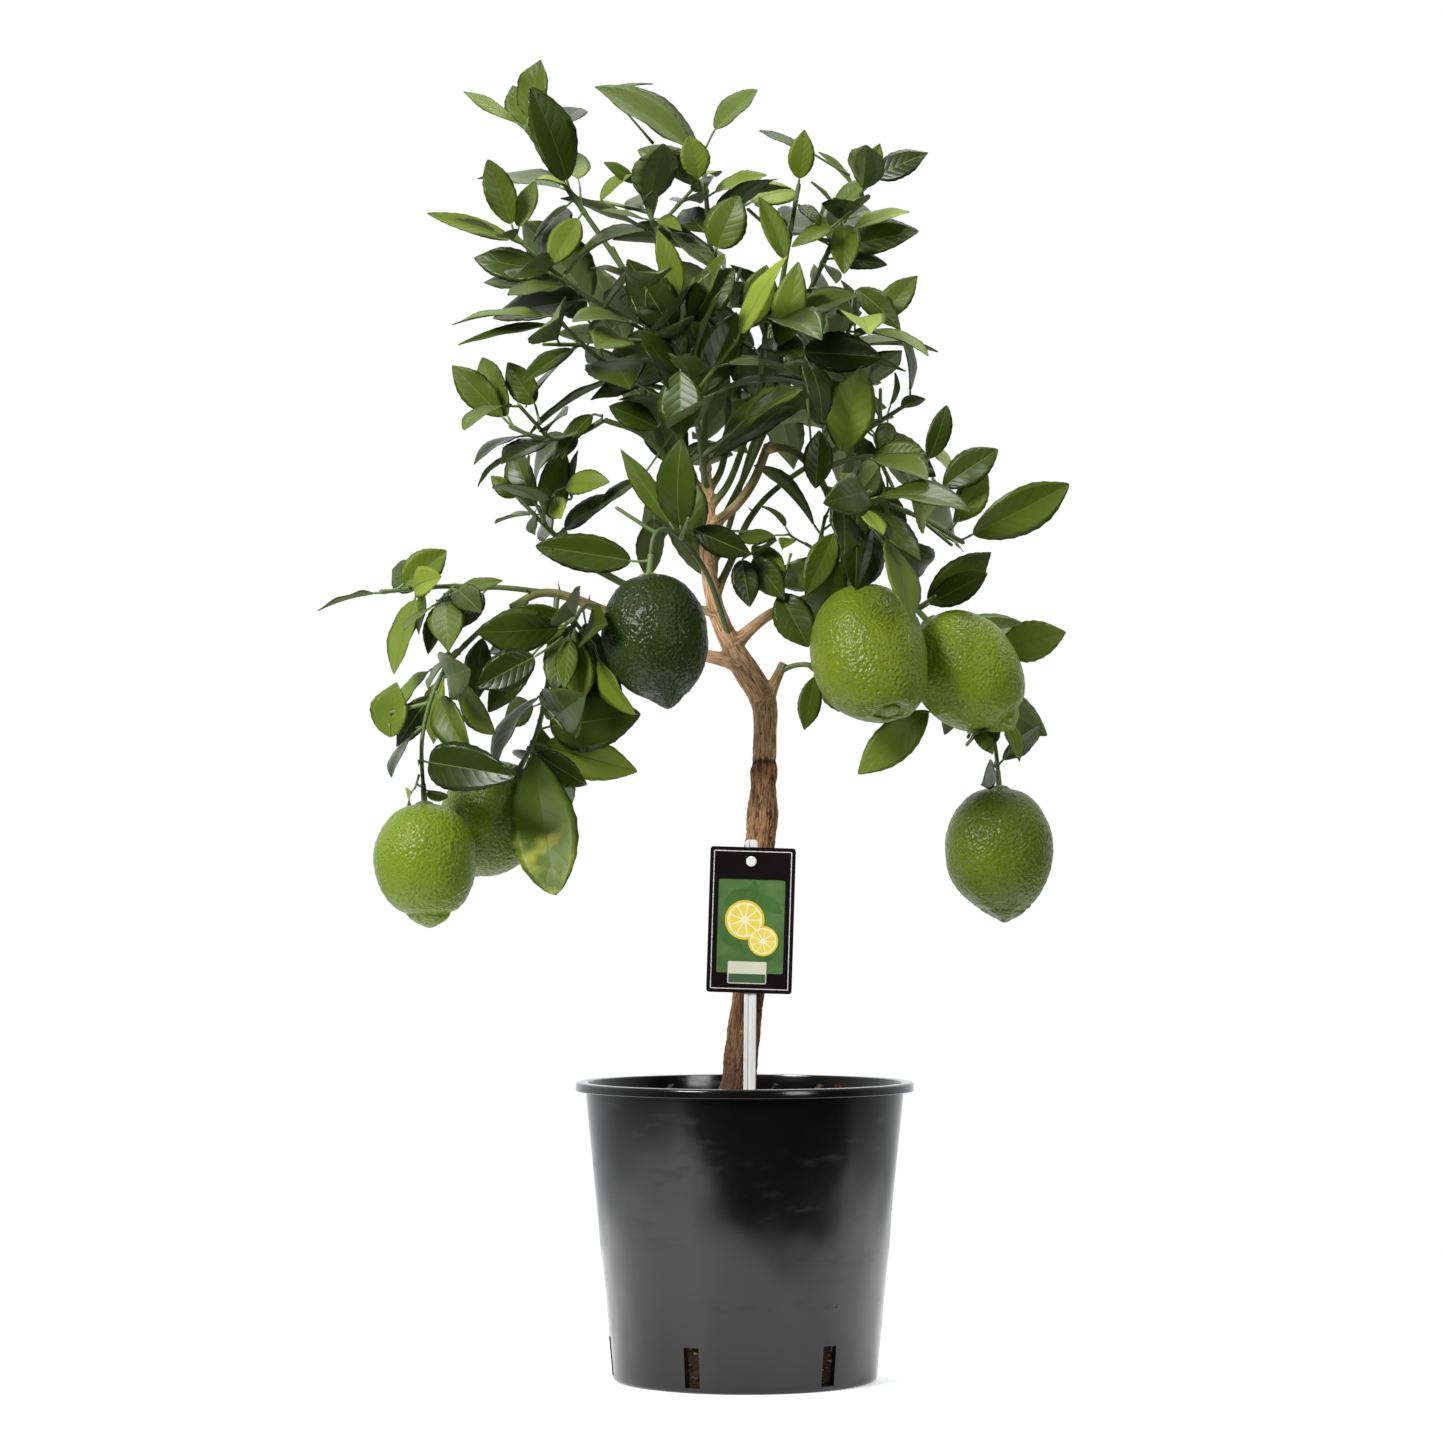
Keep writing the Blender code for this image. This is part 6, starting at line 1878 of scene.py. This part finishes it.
def chip(place, size, kind, standing=False):
    """A flat splinter of bark with broken corners."""
    long, wide, thick = size, size * rng.uniform(0.35, 0.7), size * rng.uniform(0.12, 0.3)
    turn = Matrix.Rotation(rng.uniform(0, math.tau), 3, "Z")
    tip = rng.uniform(0.6, 1.1) if standing else rng.uniform(-0.5, 0.5)
    turn = turn @ Matrix.Rotation(tip, 3, "Y") @ Matrix.Rotation(rng.uniform(-0.4, 0.4), 3, "X")
    corners = []
    for x, y, z in ((-1, -1, -1), (1, -1, -1), (1, 1, -1), (-1, 1, -1), (-1, -1, 1), (1, -1, 1), (1, 1, 1), (-1, 1, 1)):
        nick = [rng.uniform(0.55, 1.0) for _ in "xyz"]
        corners.append(turn @ Vector((x * long * nick[0], y * wide * nick[1], z * thick * nick[2])) * 0.5 * MM + place)
    heap.add(corners, [(3, 2, 1, 0), (4, 5, 6, 7), (0, 1, 5, 4), (1, 2, 6, 5), (2, 3, 7, 6), (3, 0, 4, 7)], kind)


for _ in range(CHIPS):
    turn, reach = rng.uniform(0, math.tau), (soil_edge - 4 * MM) * math.sqrt(rng.uniform(0.02, 1))
    x, y = reach * math.cos(turn), reach * math.sin(turn)
    if math.hypot(x + 6 * MM, y) < 16 * MM or (abs(x - 2.4 * MM) < 9 * MM and abs(y + 28 * MM) < 6 * MM):
        continue
    size = rng.uniform(*CHIP_SIZES) * (1.5 if rng.random() < 0.08 else 1)
    kind = rng.choices((1, 2, 3, 4), chip_kinds)[0]
    chip(Vector((x, y, soil_height(x, y) + 0.12 * size * MM)), size, kind, rng.random() < 0.1)
for x, y, size, kind in ((62, 62, 13, 4), (48, 72, 9, 2), (-50, 74, 10, 1), (-74, 46, 8, 2), (20, 88, 9, 1)):
    chip(Vector((x * MM, y * MM, SOIL_TOP + 4 * MM)), size, kind, True)

for k in range(SLOTS):
    for _ in range(16):
        turn = SLOT_TURN - math.pi / 2 + math.tau * k / SLOTS + rng.uniform(-0.055, 0.055)
        height = rng.uniform(SLOT_LOW, SLOT_HIGH)
        out = wall_radius(height) - POT_WALL - rng.uniform(1.4, 2.4) * MM
        place = Vector((out * math.cos(turn), out * math.sin(turn), height))
        chip(place, rng.uniform(2.0, 4.5), rng.choices((1, 2, 3), (3, 3, 2))[0])

compost = finish("compost", (0.040, 0.022, 0.012), (0.010, 0.006, 0.004), 0.95, 260, Specular_IOR_Level=0.2)
crumbs = add_node(compost.node_tree, "Group", node_tree=pores, Scale=900, Roundness=1)["Height"]
bumped(compost, crumbs, 0.8 * MM)
chip_finishes = [
    finish("chip_dark", (0.035, 0.022, 0.015), (0.016, 0.010, 0.008), 0.9, 200),
    finish("chip_brown", (0.095, 0.055, 0.032), (0.050, 0.028, 0.016), 0.85, 200),
    finish("chip_pale", (0.26, 0.19, 0.12), (0.15, 0.10, 0.06), 0.85, 200),
    finish("chip_red", (0.20, 0.055, 0.03), (0.11, 0.030, 0.018), 0.8, 200),
]
piece("compost_and_chips", heap, [compost, *chip_finishes], "compost", ["soil"], smooth_under=50)

# %% [markdown]
# ## Label
# The label is a printed plastic card on a flat white stake, held by a push-in stud. The card bows forward a little
# at its sides. Its print is its own here: slices of citrus and leaves on green, with an empty plate, laid on as
# patches of ink a few hundredths of a millimetre thick. Patches follow the bow because they are cut into strips
# before they are bent.

# %% Label sizes
CARD_SIZE = (54.0 * MM, 92.0 * MM)
CARD_THICK = 0.8 * MM
CARD_CENTRE = Vector((4.0, -29.6, 291.7)) * MM
CARD_LEAN = math.radians(1.8)
CARD_BOW = 1.5 * MM
STRIP_SIZE = (7.8 * MM, 1.8 * MM)
STRIP_FOOT = Vector((2.4, -28.0, 120.0)) * MM
STRIP_LENGTH = 222.5 * MM
STRIP_LEAN = math.radians(0.5)
STUD_HEIGHT = 328.8 * MM
STUD_RADIUS = 2.4 * MM
STUD_HEAD = (3.3 * MM, 1.0 * MM)


def stud_place(depth):
    """The stud's middle at a depth, on the strip's own line."""
    rise = STUD_HEIGHT - STRIP_FOOT.z
    return Vector((STRIP_FOOT.x + rise * math.tan(STRIP_LEAN), depth, STUD_HEIGHT))


# %% Card and its print
INK = 0.05 * MM
CARD_ROUND = 2.0 * MM


def rounded(width, height, radius, cx=0.0, cz=0.0, corner=5):
    """The outline of a rounded rectangle, in metres."""
    outline = []
    for k, (sx, sz) in enumerate(((1, 1), (-1, 1), (-1, -1), (1, -1))):
        for i in range(corner + 1):
            a = math.pi / 2 * (k + i / corner)
            outline.append((
                cx + sx * (width / 2 - radius) + radius * math.cos(a),
                cz + sz * (height / 2 - radius) + radius * math.sin(a),
            ))
    return outline


def oval(cx, cz, wide, high, turn=0.0, sides=40):
    return [
        (cx + wide * math.cos(a) * math.cos(turn) - high * math.sin(a) * math.sin(turn),
         cz + wide * math.cos(a) * math.sin(turn) + high * math.sin(a) * math.cos(turn))
        for a in np.linspace(0, math.tau, sides, False)
    ]


def leaf_outline(cx, cz, long, wide, turn):
    """A pointed leaf as a flat outline."""
    sides = [(t - 0.5, 0.5 * math.sin(math.pi * t) ** 0.9) for t in np.linspace(0, 1, 15)]
    loop = [(x * long, y * wide) for x, y in sides] + [(x * long, -y * wide) for x, y in reversed(sides[1:-1])]
    return [(cx + x * math.cos(turn) - y * math.sin(turn), cz + x * math.sin(turn) + y * math.cos(turn))
            for x, y in loop]


def bowed(x, y, z):
    """A point of the flat card, bent with it and leaned into place."""
    across = 2 * x / CARD_SIZE[0]
    turn = Matrix.Rotation(CARD_LEAN, 3, "Y")
    return turn @ Vector((x, y - CARD_BOW * across * across, z)) + CARD_CENTRE


def sheet_patch(heap, outline, back, front, finish_number, strip=4 * MM):
    """A flat patch between two depths, cut into strips and bent with the card."""
    flat = bmesh.new()
    flat.faces.new([flat.verts.new((x, 0, z)) for x, z in outline])
    low, high = min(x for x, _ in outline), max(x for x, _ in outline)
    for k in range(int(low / strip) - 1, int(high / strip) + 2):
        if low < k * strip < high:
            everything = [*flat.verts, *flat.edges, *flat.faces]
            bmesh.ops.bisect_plane(flat, geom=everything, plane_co=(k * strip, 0, 0), plane_no=(1, 0, 0))
    flat.verts.index_update()
    plan = [(v.co.x, v.co.z) for v in flat.verts]
    many = len(plan)
    points = [bowed(x, back, z) for x, z in plan] + [bowed(x, front, z) for x, z in plan]
    faces = []
    for face in flat.faces:
        loop = [v.index for v in face.verts]
        faces += [tuple(loop), tuple(many + i for i in reversed(loop))]
    for edge in flat.edges:
        if len(edge.link_faces) == 1:
            a, b = (v.index for v in edge.verts)
            faces.append((a, b, many + b, many + a))
    flat.free()
    heap.add(points, faces, finish_number)


BLACK_CARD, WHITE_INK, GREEN_INK, LEAF_INK, RIND_INK, PITH_INK, FLESH_INK, PLATE_INK, PLATE_DARK = range(9)
card_heap = Heap()
card_front = -CARD_THICK / 2
sheet_patch(card_heap, rounded(*CARD_SIZE, CARD_ROUND), CARD_THICK / 2, card_front, BLACK_CARD, 3 * MM)


def ink(outline, level, colour):
    sheet_patch(card_heap, outline, card_front + 0.02 * MM, card_front - level * INK, colour)


FRAME_INSET, FRAME_LINE = 2.6 * MM, 0.5 * MM
wide, high = CARD_SIZE[0] - 2 * FRAME_INSET, CARD_SIZE[1] - 2 * FRAME_INSET
for sign in (-1, 1):
    ink(rounded(wide, FRAME_LINE, 0.1 * MM, 0, sign * high / 2, 2), 1, WHITE_INK)
    ink(rounded(FRAME_LINE, high, 0.1 * MM, sign * wide / 2, 0, 2), 1.2, WHITE_INK)
PANEL = (42.0 * MM, 59.0 * MM)
panel_z = -4.0 * MM
ink(rounded(*PANEL, 1.2 * MM, 0, panel_z), 1, GREEN_INK)
for x, z, long, wide, turn in (
    (-10, 18, 20, 9, 0.6), (12, 14, 19, 8.5, 2.5), (-13, -8, 18, 8, -0.5), (13, -16, 17, 7.5, 0.9), (1, 22, 15, 7, 1.5),
):
    ink(leaf_outline(x * MM, z * MM + panel_z, long * MM, wide * MM, turn), 2, LEAF_INK)
for x, z, size in ((-4, 4, 12.5), (8, -9, 9.5)):
    x, z = x * MM, z * MM + panel_z
    ink(oval(x, z, size * MM, size * MM), 3, RIND_INK)
    ink(oval(x, z, size * 0.88 * MM, size * 0.88 * MM), 4, PITH_INK)
    for k in range(9):
        start, stop = math.tau * (k + 0.06) / 9, math.tau * (k + 0.94) / 9
        wedge = [(x + size * r * MM * math.cos(a), z + size * r * MM * math.sin(a))
                 for r, a in ((0.14, (start + stop) / 2), (0.74, start), (0.80, start * 0.7 + stop * 0.3),
                              (0.80, start * 0.3 + stop * 0.7), (0.74, stop))]
        ink(wedge, 5, FLESH_INK)
ink(rounded(24.5 * MM, 14 * MM, 1 * MM, -1.6 * MM, -33.2 * MM), 6, PLATE_INK)
ink(rounded(23.3 * MM, 5.6 * MM, 0.6 * MM, -1.6 * MM, -36.8 * MM), 7, PLATE_DARK)

card_finishes = [
    finish("black_card", (0.0085, 0.0045, 0.0055), (0.006, 0.003, 0.004), 0.3, 40, Specular_IOR_Level=0.25),
    finish("white_ink", (0.75, 0.75, 0.73), (0.68, 0.68, 0.66), 0.45, 90),
    finish("green_ink", (0.10, 0.20, 0.05), (0.04, 0.10, 0.025), 0.4, 90),
    finish("leaf_ink", (0.06, 0.16, 0.035), (0.035, 0.10, 0.02), 0.4, 150),
    finish("rind_ink", (0.80, 0.58, 0.03), (0.72, 0.47, 0.02), 0.4, 200),
    finish("pith_ink", (0.85, 0.82, 0.60), (0.80, 0.76, 0.50), 0.45, 200),
    finish("flesh_ink", (0.84, 0.68, 0.10), (0.76, 0.58, 0.05), 0.4, 300),
    finish("plate_ink", (0.70, 0.68, 0.55), (0.62, 0.60, 0.46), 0.45, 120),
    finish("plate_dark", (0.05, 0.12, 0.05), (0.035, 0.09, 0.035), 0.45, 120),
]
piece("label_card_print", card_heap, card_finishes, "card", ["label_card"], smooth_under=30)

# %% [markdown]
# The stake is extruded with a groove down its front, so it is drawn as one cross-section and carried up. The stud is
# a low dome with a dimple, lathed and turned to face forward.

# %% Stake and stud
GROOVE = (1.1 * MM, 0.5 * MM)
stake = Heap()
half, back, front = STRIP_SIZE[0] / 2, STRIP_SIZE[1] / 2, -STRIP_SIZE[1] / 2
section = [
    (-half + 0.3 * MM, back), (-half, back - 0.3 * MM), (-half, front + 0.3 * MM), (-half + 0.3 * MM, front),
    (-0.4 * MM - GROOVE[0], front), (-0.4 * MM - GROOVE[0] * 0.8, front + GROOVE[1]),
    (-0.4 * MM + GROOVE[0] * 0.8, front + GROOVE[1]), (-0.4 * MM + GROOVE[0], front),
    (half - 0.3 * MM, front), (half, front + 0.3 * MM), (half, back - 0.3 * MM), (half - 0.3 * MM, back),
]
levels = [(0, 1), (STRIP_LENGTH - 2 * MM, 1), (STRIP_LENGTH - 0.6 * MM, 0.88), (STRIP_LENGTH, 0.6)]
lean = Matrix.Rotation(STRIP_LEAN, 3, "Y")
points = [lean @ Vector((x * narrow, y, z)) + STRIP_FOOT for z, narrow in levels for x, y in section]
many = len(section)
faces = [tuple(range(many)), tuple(range(3 * many, 4 * many))]
for level in range(len(levels) - 1):
    for k in range(many):
        a, b = level * many + k, level * many + (k + 1) % many
        faces.append((a, b, b + many, a + many))
stake.add(points, faces, 0)

head_back = CARD_CENTRE.y + CARD_THICK / 2 - CARD_THICK - GAP - CARD_BOW * 0.1
reach = STRIP_FOOT.y - head_back
head, tall = STUD_HEAD
stud_profile = [
    (0, reach * -1), (STUD_RADIUS, reach * -1), (STUD_RADIUS, 0), (head - 0.2 * MM, 0), (head, 0.2 * MM),
    (head - 0.1 * MM, 0.55 * MM), (head - 0.7 * MM, 0.9 * MM), (head * 0.5, tall), (head * 0.3, tall * 0.72),
    (0, tall * 0.66),
]
points, faces = lathed(stud_profile, 48)
stake.add([stud_place(head_back) + Vector((x, -z, y)) for x, y, z in points], faces, 0)
white_plastic = finish("white_plastic", (0.80, 0.80, 0.78), (0.72, 0.72, 0.69), 0.38, 30)
piece("label_stake", stake, [white_plastic], "stem_plastic", ["label_stem"], smooth_under=35)
